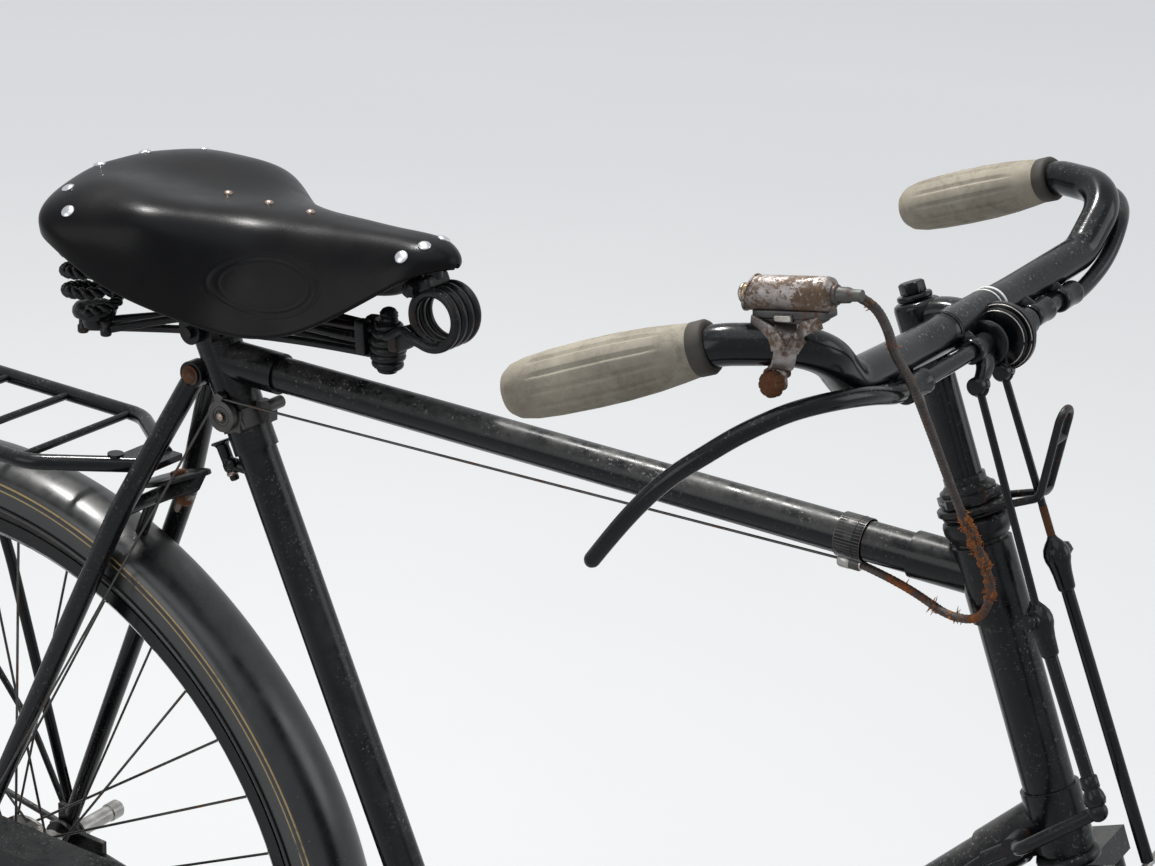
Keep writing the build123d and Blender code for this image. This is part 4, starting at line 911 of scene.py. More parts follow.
# place, radius and metal, on both sides of the saddle unless on its middle line
RIVET_TABLE = [(-346, 71, 679, 4.6, 0), (-361, 24, 682, 4.6, 0), (-326, 90, 667, 4.8, 0),
               (-87, 12, 680, 4.4, 0), (-97, 25, 671, 4.6, 0),
               (-263, 0, 676, 3.2, 1), (-227, 0, 675, 3.2, 1), (-191, 0, 676, 3.2, 1)]
# height over the leather and share of the rivet's radius
RIVET_HEAD = np.array([(-1.0, 0.0), (-1.0, 1.0), (0.35, 1.0), (0.9, 0.9), (1.5, 0.62), (1.85, 0.25),
                       (1.9, 0.0)])
rivets = Shells()
for x, y, z, r, metal in RIVET_TABLE:
    for side in ((-1, 1) if y else (1,)):
        spot, way = on_leather(x, y * side, z)
        profile = np.maximum(RIVET_HEAD * np.array([1.0, r]), np.array([-1.0, 0.05]))
        rivets.add(turned(spot, way, profile, 24), metal)
make("saddle_rivets", rivets, [RIVET, COPPER], "frame")

# Saddle springs and undercarriage


def coil_path(centre, axis, radius, rise, turns, count, start=0.0):
    """Screw line: centre + axis rise t + radius(t) (cos, sin) of turns t round the axis."""
    t = np.linspace(0, 1, count)
    first, second = across_frame(axis)
    a = start + 2 * math.pi * turns * t
    r = radius(t)
    circle = np.cos(a)[:, None] * first + np.sin(a)[:, None] * second
    return np.asarray(centre, float) + (rise * t)[:, None] * unit(axis) + r[:, None] * circle


def twisted_wire(path, strands, strand_r, lay):
    """Rope of round strands: each turns about the path once per lay length, in a frame square to it."""
    way = unit(np.gradient(path, axis=0))
    first = unit(np.cross(way, UP))
    second = np.cross(way, first)
    length = run_along(path)
    grids = []
    for k in range(strands):
        a = 2 * math.pi * (length / lay + k / strands)
        off = strand_r * 0.95 * (np.cos(a)[:, None] * first + np.sin(a)[:, None] * second)
        strand = path + off
        tangent = unit(np.gradient(strand, axis=0))
        out = unit(off - tangent * np.einsum("ij,ij->i", off, tangent)[:, None])
        over = np.cross(tangent, out)
        b = np.linspace(0, 2 * math.pi, 10, endpoint=False)
        grids.append(strand[:, None, :] + strand_r * (np.cos(b)[None, :, None] * out[:, None, :]
                                                      + np.sin(b)[None, :, None] * over[:, None, :]))
    return grids


rear_springs = Shells()
for side in (-1, 1):
    base = np.array([-333, 61 * side, 594.0])
    path = coil_path(base, UP, lambda t: 14.5 + 4.8 * np.clip(t * 3.2, 0, 1), 44.0, 3.1, 300,
                     start=math.radians(200 if side < 0 else -20))
    for grid in twisted_wire(path, 2, 2.35, 13.0):
        rear_springs.add(grid)
    rear_springs.add(turned((base[0], base[1], 586.5), UP,
                            [(0, 12), (0.5, 14.5), (3, 15.5), (6, 15.2), (8.5, 13.5), (9.5, 11.5),
                             (9.6, 5)], 40))
    rear_springs.add(turned((base[0], base[1], 640), UP,
                            [(0, 5), (0.2, 17.5), (1.0, 19), (3.6, 19), (4.4, 17.5), (4.6, 5)], 40))
    rear_springs.add(turned((base[0], base[1], 578), UP,
                            [(0, 2), (0.4, 7.5), (3.5, 8.4), (9, 8.4), (10, 7)], 24))
    rear_springs.add(six_sided((base[0], base[1], 583.5), UP, 11, 5, 36))
make("rear_spring_coils", rear_springs, [DULL_ENAMEL], "frame", ["saddle_rear_springs"])

FRONT_COIL = np.array([-78.5, 0, 626.5])
FRONT_COIL_R = 18.6
FRONT_COIL_TURNS = 3.6
front_spring = Shells()
a = math.radians(250) + np.linspace(0, 2 * math.pi * FRONT_COIL_TURNS, 260)
coil = np.stack([FRONT_COIL[0] + FRONT_COIL_R * np.cos(a), np.linspace(-14.0, 14.0, 260),
                 FRONT_COIL[2] + FRONT_COIL_R * np.sin(a)], axis=1)
front_spring.add(round_bar(coil, 3.5, 14))
tail_a = np.array([coil[0], coil[0] + (-12, 1.0, 3.0), (-104, -10, 613), (-116, -9, 606), (-124, -6, 604)])
front_spring.add(round_bar(smooth_path(tail_a, 30), 3.4, 14))
tail_b = np.array([(-92, 10, 613.5), (-104, 10, 611), (-116, 9, 606), (-124, 6, 604)])
front_spring.add(round_bar(smooth_path(tail_b, 24), 3.4, 14))
front_spring.add(rounded_block((-90, 0, 648), (18, 25, 9), (0.9, 0, 0.43), (-0.43, 0, 0.9), 0.3))
front_spring.add(turned((-88, 0, 652), UP, [(0, 2), (0.1, 7), (14, 7), (18, 6)], 24))
front_spring.add(turned((-96, -15, 645), LEFT,
                        [(0, 1), (0.2, 5.5), (3, 6.2), (27, 6.2), (29.8, 5.5), (30, 1)], 28))
for side in (-1, 1):
    front_spring.add(six_sided((-96, 13.5 * side, 645), LEFT * side, 9.5, 4, 36))
make("front_spring_coil", front_spring, [DULL_ENAMEL], "frame", ["saddle_front_spring"])

wires = Shells()
WIRE_R = 2.95
WIRE_FOOT = [(0, 0.1), (0, 3.4), (0.8, 4.0), (5.2, 4.0), (6.0, 3.0), (10, 2.9), (10, 0.1)]
SPRING_BOLT = [(0, 0.1), (0, 7.5), (1, 8.5), (3, 6.0), (8, 5.0), (18, 5.0), (18.1, 0.1)]
# each wire: height at the front, side and height at the middle, and its rear end
WIRE_TABLE = [(598, 8, 592, -330, 52, 580), (589, 15.5, 581, -345, 60, 574), (606, 23, 596, -316, 68, 580)]
for side in (-1, 1):
    for front_z, mid_y, mid_z, end_x, end_y, end_z in WIRE_TABLE:
        line = smooth_path([(-122, 3.0 * side, front_z + 0.5), (-150, 5.0 * side, front_z - 0.6),
                            (-250, mid_y * side, mid_z), (end_x - 1, (end_y - 0.5) * side, end_z + 1.0)],
                           70)
        wires.add(round_bar(line, WIRE_R, 16))
        wires.add(turned((end_x, end_y * side, end_z - 2.8), UP, WIRE_FOOT, 22))
    wires.add(turned((-333, 61 * side, 643), UP, SPRING_BOLT, 26))
half_rim = [(-306, -90, 643), (-330, -92, 654), (-350, -80, 662), (-360, -50, 668.5), (-363, 0, 672.5)]
whole_rim = half_rim + [(x, -y, z) for x, y, z in half_rim[-2::-1]]
rim_line = smooth_path(whole_rim, 120) + np.array([3.5, 0, -3.5])
wires.add(flat_bar(rim_line, 15.0, 2.6, (0.35, 0, 0.94), 18, 0.4))
for side in (-1, 1):
    cross = smooth_path([(-333, 61 * side, 659), (-346, 66 * side, 664), (-354, 66 * side, 664)], 16)
    wires.add(flat_bar(cross, 16.0, 2.8, LEFT, 16, 0.4))
make("saddle_wires_bent", wires, [DULL_ENAMEL], "frame", ["saddle_wires_and_cantle"],
     crease=60)

bobbin = Shells()
for k, (z, major, minor) in enumerate([(583.5, 8.0, 3.2), (588.8, 9.2, 3.3), (594.2, 9.6, 3.3),
                                       (599.6, 9.6, 3.3), (605.0, 8.8, 3.2), (610.0, 7.4, 2.9)]):
    tilt = unit((0.05 * (-1) ** k, 0.04, 1))
    bobbin.add(torus((-123, 0, z), tilt, major, minor, 44, 12))
bobbin.add(turned((-123, 0, 577.5), UP,
                  [(0, 0.1), (0, 6.4), (1.5, 7.4), (4, 7.4), (36, 7.2), (37, 6.4), (38, 6.4), (39, 6.0),
                   (40, 6.6), (41, 6.0), (42, 6.4), (43, 5.6), (44.5, 4.6), (45.6, 2.6), (46, 0.1)], 30))
for side in (-1, 1):
    middle = np.array([-139.5, 6.0 * side, 600])
    bobbin.add(rounded_block(middle, (9, 9.5, 25), (0.98, 0.12 * side, 0.1), (-0.1, 0, 0.99), 0.3))
bobbin.add(rounded_block((-112, 0, 602), (9, 23, 13), (1, 0, 0.12), (-0.12, 0, 1), 0.35))
make("wire_bundle_at_front_bolt", bobbin, [DULL_ENAMEL], "frame")

# Grips
GRIP_BACK = np.array([140.5, 241.5, 692.8])
GRIP_FRONT = np.array([248.2, 222.9, 738.3])
GRIP_RIBS = 12
GROOVE_DEPTH = 0.75


def grip_surface(side):
    """Ribbed sleeve: radius from a profile along it, less pairs of grooves where a cosine round it is
    high, which fade at both ends. The back end rounds off to the middle."""
    back = GRIP_BACK * np.array([1, side, 1])
    front = GRIP_FRONT * np.array([1, side, 1])
    way = unit(front - back)
    first, second = across_frame(way)
    d_knots = np.array([-4, -3.4, -1.5, 3, 12, 26, 48, 66, 84, 98, 108, 113, 114.5])
    r_knots = np.array([0.2, 7.5, 12.2, 15.0, 16.8, 17.8, 18.3, 18.1, 17.1, 15.6, 14.3, 13.7, 13.2])
    t = np.linspace(0, 1, 110)
    d = np.interp(t, np.linspace(0, 1, len(d_knots)), d_knots)
    r = np.interp(d, d_knots, r_knots)
    a = np.linspace(0, 2 * math.pi, 240, endpoint=False)
    groove = np.clip(np.cos(a * GRIP_RIBS) * 4 - 3.0, 0, 1)
    fade = np.clip((d - 14) / 10, 0, 1) * np.clip((96 - d) / 10, 0, 1)
    pair = np.clip(np.cos(a * GRIP_RIBS + 0.9) * 4 - 3.0, 0, 1) * 0.6
    radius = r[:, None] - fade[:, None] * (groove + pair)[None, :] * GROOVE_DEPTH
    circle = np.cos(a)[:, None] * first + np.sin(a)[:, None] * second
    return back + d[:, None, None] * way + radius[:, :, None] * circle[None], back, way


grips = Shells()
for side in (-1, 1):
    grid, back, way = grip_surface(side)
    grips.add(grid, 0)
    grips.add(turned(back + way * 108.5, way,
                     [(0, 11.4), (0, 13.6), (1, 14.5), (8, 14.6), (9.5, 13.6), (9.6, 11.4)], 48), 1)
make("handlebar_grips", grips, [GRIP_RUBBER, GRIP_DARK], "steering", ["grips"], crease=60)

# Handlebar and stem
BAR_MIDDLE = np.array([291.0, 0.0, 706.0])
SHAFT = np.array([308.0, 0.0, 697.5])


def flip(points):
    """Mirror to the bicycle's right."""
    return np.asarray(points, float) * np.array([1, -1, 1])


HALF_BAR = [(147.0, 240.4, 695.5), (252.0, 222.2, 739.9), (297, 198.2, 744.1), (295.8, 157.9, 712.4),
            (291, 70, 706), (291, 0, 706)]
BAR_BENDS = [33.6, 34, 30, 300]
BAR_R = 11.1
bar_line = filleted(HALF_BAR, BAR_BENDS, 2.0)
bar_whole = np.concatenate([flip(bar_line), bar_line[::-1][1:]])
sleeve = np.clip((33 - np.abs(bar_whole[:, 1])) / 1.6, 0, 1)
handlebar = Shells()
handlebar.add(round_bar(bar_whole, BAR_R + sleeve, 32))
for y in (-31.0, -28.6):
    handlebar.add(torus(BAR_MIDDLE + LEFT * y, LEFT, 12.05, 0.42, 44, 8))
for y, outer_r, wide in ((25.2, 12.45, 1.1), (31.0, 12.5, 2.1)):
    handlebar.add(band(BAR_MIDDLE + LEFT * y, LEFT, 11.0, outer_r, wide, 0.25, 44), 1, looped=True)
handlebar.add(turned(head_at(590), HEAD_UP, [(0, 0.1), (0.1, 11.1), (112, 11.1), (113, 0.1)], 36))
handlebar.add(turned(head_at(690), HEAD_UP,
                     [(0, 11.0), (1.5, 13.0), (4, 13.8), (19, 14.0), (21.5, 13.4), (22.6, 11.8),
                      (22.7, 0.1)], 36))
handlebar.add(turned(head_at(711.5), HEAD_UP,
                     [(0, 0.1), (0, 10.0), (0.8, 10.6), (2.6, 10.6), (3.4, 9.9), (3.5, 0.1)], 36))
handlebar.add(six_sided(head_at(714.5), HEAD_UP, 13.5, 7.5, 48, 0.4), 2)
neck_line = filleted([head_at(699), head_at(703, 14), BAR_MIDDLE + np.array([1, 0, 0])], [20], 1.5)
waist = np.sin(np.linspace(0, 1, len(neck_line)) * math.pi)
handlebar.add(flat_bar(neck_line, 25 - 3 * waist, 24 - 5 * waist, LEFT, 28, 0.8))
for y in (-110.0, -24.0, 60.0, 102.0):
    foot = BAR_MIDDLE + LEFT * y + np.array([6.5, 0, -3.5])
    eye = SHAFT + LEFT * (y + 1.0)
    horn = filleted([foot, (foot + eye) / 2 + np.array([2.5, 0, 3.5]), eye], [8], 0.8)
    run = np.linspace(0, 1, len(horn))
    handlebar.add(round_bar(horn, 7.2 - 2.6 * np.sin(np.clip(run * 1.2, 0, 1) * math.pi / 2), 24))
    handlebar.add(torus(BAR_MIDDLE + LEFT * y + np.array([7.6, 0, -5.2]), (0.83, 0, -0.56), 6.4, 1.6, 30,
                        10))
    handlebar.add(turned(SHAFT + LEFT * (y - 5), LEFT,
                         [(0, 3), (0, 6.6), (0.8, 7.4), (3, 7.6), (8, 7.4), (20, 7.2), (21.5, 7.6),
                          (24, 7.6), (24.8, 6.8), (25, 3)], 30))
make("handlebar_and_forged_stem", handlebar, [CLEAN_ENAMEL, WHITE_LINE, RUSTY_ENAMEL], "steering",
     ["handlebar_and_stem"], crease=45)

# Brake levers, the near one from places solved in the picture, the far one lifted about the shaft
LEVER_TIP = [(-1.5, 4.5), (0, 4.5), (1.6, 4.1), (3.2, 3.0), (4.0, 1.4), (4.2, 0.1)]
ARM_PIN = [(0, 0.1), (0, 4.6), (1, 5.4), (10, 5.4), (11.5, 4.4), (11.7, 0.1)]


def lever_rod(line):
    """Rod of a lever: its radius rises by a sine to the middle and falls evenly to a rounded tip."""
    run = np.linspace(0, 1, len(line))
    shells = Shells()
    shells.add(round_bar(line, 5.0 + 0.35 * np.sin(run * math.pi) - 0.5 * run, 22))
    return shells.add(turned(line[-1], line[-1] - line[-2], LEVER_TIP, 22))


NEAR_LEVER = [(308, -100, 697.5), (308.2, -112, 697.9), (311.0, -132, 701.5), (312.6, -159, 709.0),
              (308.8, -183, 713.2), (301.5, -202, 713.6), (292.5, -216, 711.0), (283.7, -229, 706.4),
              (273.2, -240, 699.0), (263, -248.5, 690.2), (250.2, -256, 678.6), (238.5, -260, 665.4),
              (223.6, -263, 644.9), (208.5, -264, 622.0)]
right_lever = lever_rod(smooth_path(NEAR_LEVER, 150))
right_lever.add(turned(SHAFT - LEFT * 120, LEFT, [(0, 0.1), (0.1, 4.7), (119, 4.7), (119.1, 0.1)], 22))
right_lever.add(turned(SHAFT - LEFT * 9, LEFT,
                       [(0, 3), (0, 12), (0.8, 13.4), (3.2, 13.4), (4, 12), (4.1, 3)], 48))
arm_top = SHAFT + LEFT * -14
arm_low = np.array([315.5, -30.0, 680.0])
arm_line = smooth_path([arm_top, (arm_top + arm_low) / 2 + np.array([3, 0, 0]), arm_low], 24)
right_lever.add(flat_bar(arm_line, np.linspace(15, 9.5, 24), np.linspace(9, 6.5, 24), LEFT + UP * 0.1, 20,
                         0.6))
right_lever.add(turned(arm_low + np.array([0, 5.6, 0]), -LEFT, ARM_PIN, 28))
make("brake_lever_near", right_lever, [CLEAN_ENAMEL], "steering", ["brake_lever_right"],
     crease=50)

FAR_LIFT = math.radians(38)
# the far lever: side offset, then reach and height before its lift
FAR_LEVER = [(110, 0, 0), (126, 0, 0), (150, 2.5, 3.5), (170, 7, 9), (188, 14, 15), (205, 22, 19),
             (224, 31, 18), (240, 42, 12), (250, 54, 1), (256, 68, -13), (260, 81, -28), (262, 92, -42),
             (263, 107, -69)]
far_side, far_reach, far_height = np.array(FAR_LEVER, float).T
far = np.stack([SHAFT[0] - far_reach * math.cos(FAR_LIFT) + far_height * math.sin(FAR_LIFT), far_side,
                695.0 + far_reach * math.sin(FAR_LIFT) + far_height * math.cos(FAR_LIFT)], axis=1)
left_lever = lever_rod(smooth_path(far, 150))
left_lever.add(turned(SHAFT + LEFT * 10, LEFT, [(0, 0.1), (0.1, 4.7), (112, 4.7), (112.1, 0.1)], 22))
for y, r, t in ((5.0, 18.0, 2.6), (10.0, 20.5, 4.0), (16.5, 17.0, 6.0), (25.0, 11.5, 10.0),
                (38.0, 8.6, 9.0)):
    left_lever.add(turned(SHAFT + LEFT * y + AHEAD * 1.5, LEFT,
                          [(0, 3), (0, r - 1.0), (0.5, r), (t - 0.5, r), (t, r - 1.0), (t, 3)], 56))
for y, r in ((4.8, 16.6), (9.8, 19.2)):
    left_lever.add(torus(SHAFT + LEFT * y + AHEAD * 1.5, LEFT, r, 0.38, 56, 8), 1)
far_arm = smooth_path([SHAFT + LEFT * 13 + UP * -6, (314, 11, 686), (316, 5, 680)], 20)
left_lever.add(flat_bar(far_arm, np.linspace(20, 11, 20), np.linspace(10, 7, 20), LEFT, 20, 0.6))
left_lever.add(turned((316, 9.5, 679.5), -LEFT, ARM_PIN, 28))
make("brake_lever_far", left_lever, [CLEAN_ENAMEL, SILVER_WORN], "steering", ["brake_lever_left"],
     crease=50)

# Brake rods with their swivels
SWIVEL_BODY = [(0, 2.4), (2, 3.4), (4.5, 5.4), (7.5, 7.2), (11, 8.0), (14.5, 7.8), (18, 6.7), (23, 5.9),
               (32, 5.3), (33, 4.9), (34, 4.0)]
SWIVEL_WASHER = [(0, 0.1), (0, 5.2), (2.2, 5.2), (2.8, 4.4), (3.0, 0.1)]


def swivel(shells, centre, low, bolt_way):
    """Swivel on a rod: a teardrop turned round the joint, a bolt through it and a stepped neck below."""
    way = unit(low - centre)
    bolt_way = unit(bolt_way)
    shells.add(turned(centre - way * 12, way, SWIVEL_BODY, 30))
    shells.add(turned(centre + bolt_way * 5.5, bolt_way, SWIVEL_WASHER, 28))
    shells.add(six_sided(centre + bolt_way * 8.3, bolt_way, 9.0, 4.6, 36, 0.3))


ROD_END = [(0, 4.4), (0.8, 5.3), (7, 5.3), (8, 4.7), (11, 6.0), (14, 6.6), (17, 5.8), (19, 3.2),
           (19.5, 0.1)]
UPPER_ROD_R = 2.35
ROD1_TOP = np.array([316.0, -30, 679])
ROD1_MID = np.array([369.2, -30, 549.0])
ROD1_LOW = np.array([421.7, -46.9, 457.6])
rod1 = Shells()
rod1.add(round_bar(np.linspace(ROD1_TOP, ROD1_MID, 12), UPPER_ROD_R, 18))
rod1.add(torus(ROD1_TOP, LEFT, 4.6, 1.7, 24, 10))
swivel(rod1, ROD1_MID, ROD1_LOW, (-0.3, -1, 0.1))
rod1.add(round_bar(np.linspace(ROD1_MID, ROD1_LOW, 12), 4.0, 20))
rod1.add(turned(ROD1_LOW - unit(ROD1_LOW - ROD1_MID) * 14, ROD1_LOW - ROD1_MID, ROD_END, 28))
make("rear_brake_rod_with_swivel", rod1, [CLEAN_ENAMEL], "steering", ["rear_brake_rod_upper"],
     crease=50)

ROD2_TOP = np.array([316.0, 4, 679])
ROD2_MID = np.array([363.0, 1.5, 577.6])
ROD2_LOW = np.array([443.0, 0, 403])
rod2 = Shells()
rod2.add(round_bar(np.linspace(ROD2_TOP, ROD2_MID, 14), UPPER_ROD_R, 18))
rod2.add(torus(ROD2_TOP, LEFT, 4.6, 1.7, 24, 10))
rod2_rise = ROD2_TOP - ROD2_MID
worn_line = np.linspace(ROD2_MID + rod2_rise * 0.045, ROD2_MID + rod2_rise * 0.27, 10)
rod2.add(round_bar(worn_line, UPPER_ROD_R + 0.1, 18), 1)
swivel(rod2, ROD2_MID, ROD2_LOW, LEFT)
rod2.add(round_bar(np.linspace(ROD2_MID, ROD2_LOW, 14), 3.9, 20))
make("front_brake_rod_with_swivel", rod2, [CLEAN_ENAMEL, RUST], "steering", ["front_brake_rod"],
     crease=50)

# Headset and lamp bracket
cups = Shells()
cups.add(turned(head_at(576.6), HEAD_UP,
                [(0, 13.4), (0, 17.0), (0.8, 17.8), (2.2, 18.0), (3.2, 19.4), (6.5, 20.3), (10.5, 20.4),
                 (12.4, 19.7), (13.4, 18.4), (13.4, 13.4)], 60), looped=True)
cups.add(turned(head_at(393.2), HEAD_DOWN,
                [(0, 13.4), (0, 17.4), (1, 19.0), (4, 20.0), (6.0, 19.6), (6.8, 18.6), (6.8, 13.4)], 60),
         looped=True)
make("headset_cups_rolled", cups, [RUSTY_ENAMEL], "frame", ["headset_cups"], crease=50)
race = Shells()
race.add(turned(head_at(590.1), HEAD_UP,
                [(0, 12.6), (0, 18.4), (0.5, 19.0), (1.6, 19.0), (2.2, 18.2), (2.3, 12.6)], 60),
         looped=True)
race.add(six_sided(head_at(596.6), HEAD_UP, 34.5, 7.0, 72, 0.2))
race.add(turned(head_at(603.0), HEAD_UP,
                [(0, 10.0), (0, 16.6), (1.2, 17.0), (2.4, 16.6), (3.6, 14.6), (5.0, 13.4), (5.6, 12.0),
                 (5.6, 10)], 48), looped=True)
for z in (598.6, 601.6):
    race.add(torus(head_at(z), HEAD_UP, 17.6, 0.5, 60, 8))
make("headset_nut_and_race", race, [RUSTY_ENAMEL], "steering", ["headset_locknut"],
     crease=40)
lamp = Shells()
lamp.add(turned(head_at(592.5), HEAD_UP,
                [(0, 12.6), (0, 20.6), (0.6, 21.2), (3.4, 21.2), (4.0, 20.6), (4.0, 12.6)], 56),
         looped=True)
foot = head_at(594.5, 50, -8)
rise = unit((0.13, 0, 0.99))
wire_path = filleted([head_at(594.5, 14, 15), head_at(594.5, 30, 11), foot + LEFT * 6.6 + rise * 2,
                      foot + LEFT * 7.8 + rise * 57, foot - LEFT * 7.8 + rise * 57,
                      foot - LEFT * 6.6 + rise * 2, head_at(594.5, 30, -11), head_at(594.5, 14, -15)],
                     [20, 9, 7.6, 7.6, 9, 20], 0.9)
lamp.add(round_bar(wire_path, 2.35, 14))
for half, up_wire in ((7.0, 38), (6.6, 5)):
    rung = np.linspace(foot + LEFT * half + rise * up_wire, foot - LEFT * half + rise * up_wire, 8)
    lamp.add(round_bar(rung, 2.3, 14))
make("lamp_bracket_wire", lamp, [RUSTY_ENAMEL], "steering", ["lamp_bracket"], crease=60)

# Gear control on the bar

# the clamp sits where the near side of the bar, followed from the grip, has come this far ahead
CLAMP_AHEAD = 278.4
near_bar = flip(bar_line)
clamp_row = int(np.argmax(near_bar[:, 0] >= CLAMP_AHEAD))
CLAMP = near_bar[clamp_row]
CLAMP_WAY = unit(near_bar[clamp_row + 1] - near_bar[clamp_row - 1])
BODY_WAY = unit((53.3, 0, 9.8))
BODY_UP = unit((-9.8, 0, 53.3))
BODY = np.array([283.5, -209.0, 770.8])


def slanted(start, way, table, lean):
    """Turned profile whose rings lean: each point also moves along the axis by lean times its rise, less
    and less towards the front."""
    grid = turned(start, way, table, 40)
    table = np.asarray(table, float)
    rise = (grid - np.asarray(start, float)) @ BODY_UP
    share = np.clip(1 - (table[:, 0] + 24) / 30, 0, 1)[:, None]
    return grid + (rise * lean * share)[..., None] * unit(way)


CYLINDER_LEAN = 0.36
FACE_AT = BODY - BODY_UP * 0.5
control = Shells()
control.add(slanted(BODY, BODY_WAY, [(-22.5, 0.1), (-22.5, 8.3), (-22.0, 9.0), (-10, 9.2), (8, 9.2),
                                     (21, 9.2), (23.0, 8.6), (24.2, 7.0), (24.6, 4.8), (24.6, 0.1)],
                    CYLINDER_LEAN))
control.add(slanted(BODY, BODY_WAY, [(-23.4, 6.5), (-23.4, 9.3), (-22.9, 9.7), (-22.2, 9.7), (-21.7, 9.2),
                                     (-21.7, 6.5)], CYLINDER_LEAN), 1)
control.add(turned(FACE_AT - BODY_WAY * 20.5, -BODY_WAY,
                   [(0, 0.1), (0, 4.4), (3, 5.0), (6.5, 5.0), (8.2, 4.3), (9.2, 2.8), (9.5, 0.1)], 30), 2)
control.add(turned(FACE_AT - BODY_WAY * 26.5, -BODY_WAY,
                   [(0, 5.25), (0.3, 5.4), (1.2, 5.4), (1.5, 5.2), (1.5, 3), (0, 3)], 30), 1, looped=True)
base_at = BODY - BODY_UP * 9.8
control.add(rounded_block(base_at + BODY_WAY * 1.0, (44, 14, 5.2), BODY_WAY, BODY_UP, 0.3), 3)
control.add(rounded_block(base_at - BODY_UP * 3.0 + BODY_WAY * 1.0, (36, 12.5, 4.0), BODY_WAY, BODY_UP,
                          0.35), 3)
control.add(rounded_block(base_at - BODY_UP * 1.6 - LEFT * 7.0 - BODY_WAY * 2, (11.5, 1.6, 4.6), BODY_WAY,
                          BODY_UP, 0.3), 3)
control.add(rounded_block(base_at - BODY_UP * 1.6 - LEFT * 7.5 - BODY_WAY * 2, (9.6, 1.4, 3.2), BODY_WAY,
                          BODY_UP, 0.3), 1)
front = -LEFT
over = unit(front - CLAMP_WAY * (front @ CLAMP_WAY))
above = unit(np.cross(over, CLAMP_WAY) * np.sign(np.cross(over, CLAMP_WAY)[2]))
for side in (-1, 1):
    wing = smooth_path([BODY + BODY_WAY * (20.0 * side - 1.0) - BODY_UP * 13.2 + front * 5.5,
                        BODY + BODY_WAY * (12.5 * side - 1.5) - BODY_UP * 15.6 + front * 8.5,
                        CLAMP + CLAMP_WAY * 6.6 * side + (over * 0.80 + above * 0.60) * 13.2,
                        CLAMP + CLAMP_WAY * 3.4 * side + (over * 0.99 + above * 0.14) * 13.0], 28)
    control.add(flat_bar(wing, np.linspace(6.5, 8.5, 28), 1.8, BODY_UP, 16, 0.4))
control.add(turned(CLAMP - CLAMP_WAY * 6, CLAMP_WAY,
                   [(0, 11.2), (0, 12.6), (0.5, 13.1), (11.5, 13.1), (12, 12.6), (12, 11.2)], 48),
            looped=True)
control.add(rounded_block(CLAMP + np.array([-0.5, 0, -14.5]), (10.5, 9.0, 8.0), BODY_WAY, BODY_UP, 0.4))
control.add(rounded_block(CLAMP + np.array([0.0, -4.5, -17.5]), (13.5, 3.0, 12.0), BODY_WAY, BODY_UP, 0.5))
a = np.linspace(0, 2 * math.pi, 72, endpoint=False)
knob_way = unit((-0.25, -1, 0.12))
knob = turned(CLAMP + np.array([0.5, -5.0, -19.5]), knob_way,
              [(0, 0.1), (0, 6.3), (1, 7.2), (4.5, 7.2), (6.2, 6.2), (7.2, 4.0), (7.5, 0.1)], 72)
KNOB_SLOTS = 9
slots = 1 - 0.10 * np.clip(np.cos(a * KNOB_SLOTS) * 3 - 1.8, 0, 1)
middle = knob.mean(axis=1, keepdims=True)
control.add(middle + (knob - middle) * slots[None, :, None], 4)
control.add(turned(BODY + BODY_WAY * 24.0, BODY_WAY,
                   [(0, 0.1), (0, 5.4), (2.5, 5.2), (3.2, 4.3), (9.0, 4.0), (10.0, 3.2), (16, 3.0),
                    (16.2, 0.1)], 28), 3)
make("gear_lever_cylinder", control, [PATINA, SILVER_WORN, BRASS, DARK_STEEL, RUST], "steering",
     ["gear_control"], crease=42)

# Cable guides, pump peg, carrier clamp
guides = Shells()
guides.add(band((226, 0, HEAD_Z), AHEAD, 12.6, 14.1, 18, 0.5, 52), looped=True)
guides.add(torus((238.5, 0, HEAD_Z), AHEAD, 14.0, 0.4, 56, 8))
guides.add(turned((225.5, 0, 537.3), AHEAD,
                  [(0, 1), (0, 4.2), (1.2, 4.9), (7.5, 4.9), (8.5, 4.2), (15.5, 3.8), (16, 2.9), (16.1, 1)],
                  28), 1)
guides.add(rounded_block((234, 0, 541), (11, 6, 5), (1, 0, 0), UP, 0.4))
PULLEY = np.array([-250.0, -21.5, 520.5])
guides.add(turned(PULLEY - LEFT * 2.6, LEFT,
                  [(0, 0.1), (0, 9.6), (0.3, 10.6), (0.9, 11.4), (1.5, 11.3), (2.3, 9.6), (2.9, 9.6),
                   (3.7, 11.3), (4.3, 11.4), (4.9, 10.6), (5.2, 9.6), (5.2, 0.1)], 56), 2)
guides.add(torus(PULLEY - LEFT * 2.6, LEFT, 7.0, 0.5, 44, 8), 2)
guides.add(torus(PULLEY - LEFT * 2.5, LEFT, 4.6, 0.45, 36, 8), 0)
guides.add(turned(PULLEY - LEFT * 2.5, -LEFT,
                  [(0, 0.1), (0, 3.2), (0.8, 3.4), (1.8, 2.6), (2.4, 1.2), (2.5, 0.1)], 26), 3)
guides.add(rounded_block(PULLEY + np.array([-3.0, 0.6, 12.5]), (7.2, 6.0, 7.5), (0.95, 0, -0.3),
                         (0.3, 0, 0.95), 0.35), 2)
guides.add(flat_bar(smooth_path([(-253, -19.6, 530), (-247, -18, 527), (-240, -16.5, 521),
                                 (-236, -15.5, 512)], 20), 3.4, 2.2, LEFT, 12, 0.5), 2)
make("cable_pulley_and_clip", guides, [ENAMEL, PLATED, DARK_STEEL, COPPER], "frame", (),
     crease=45)

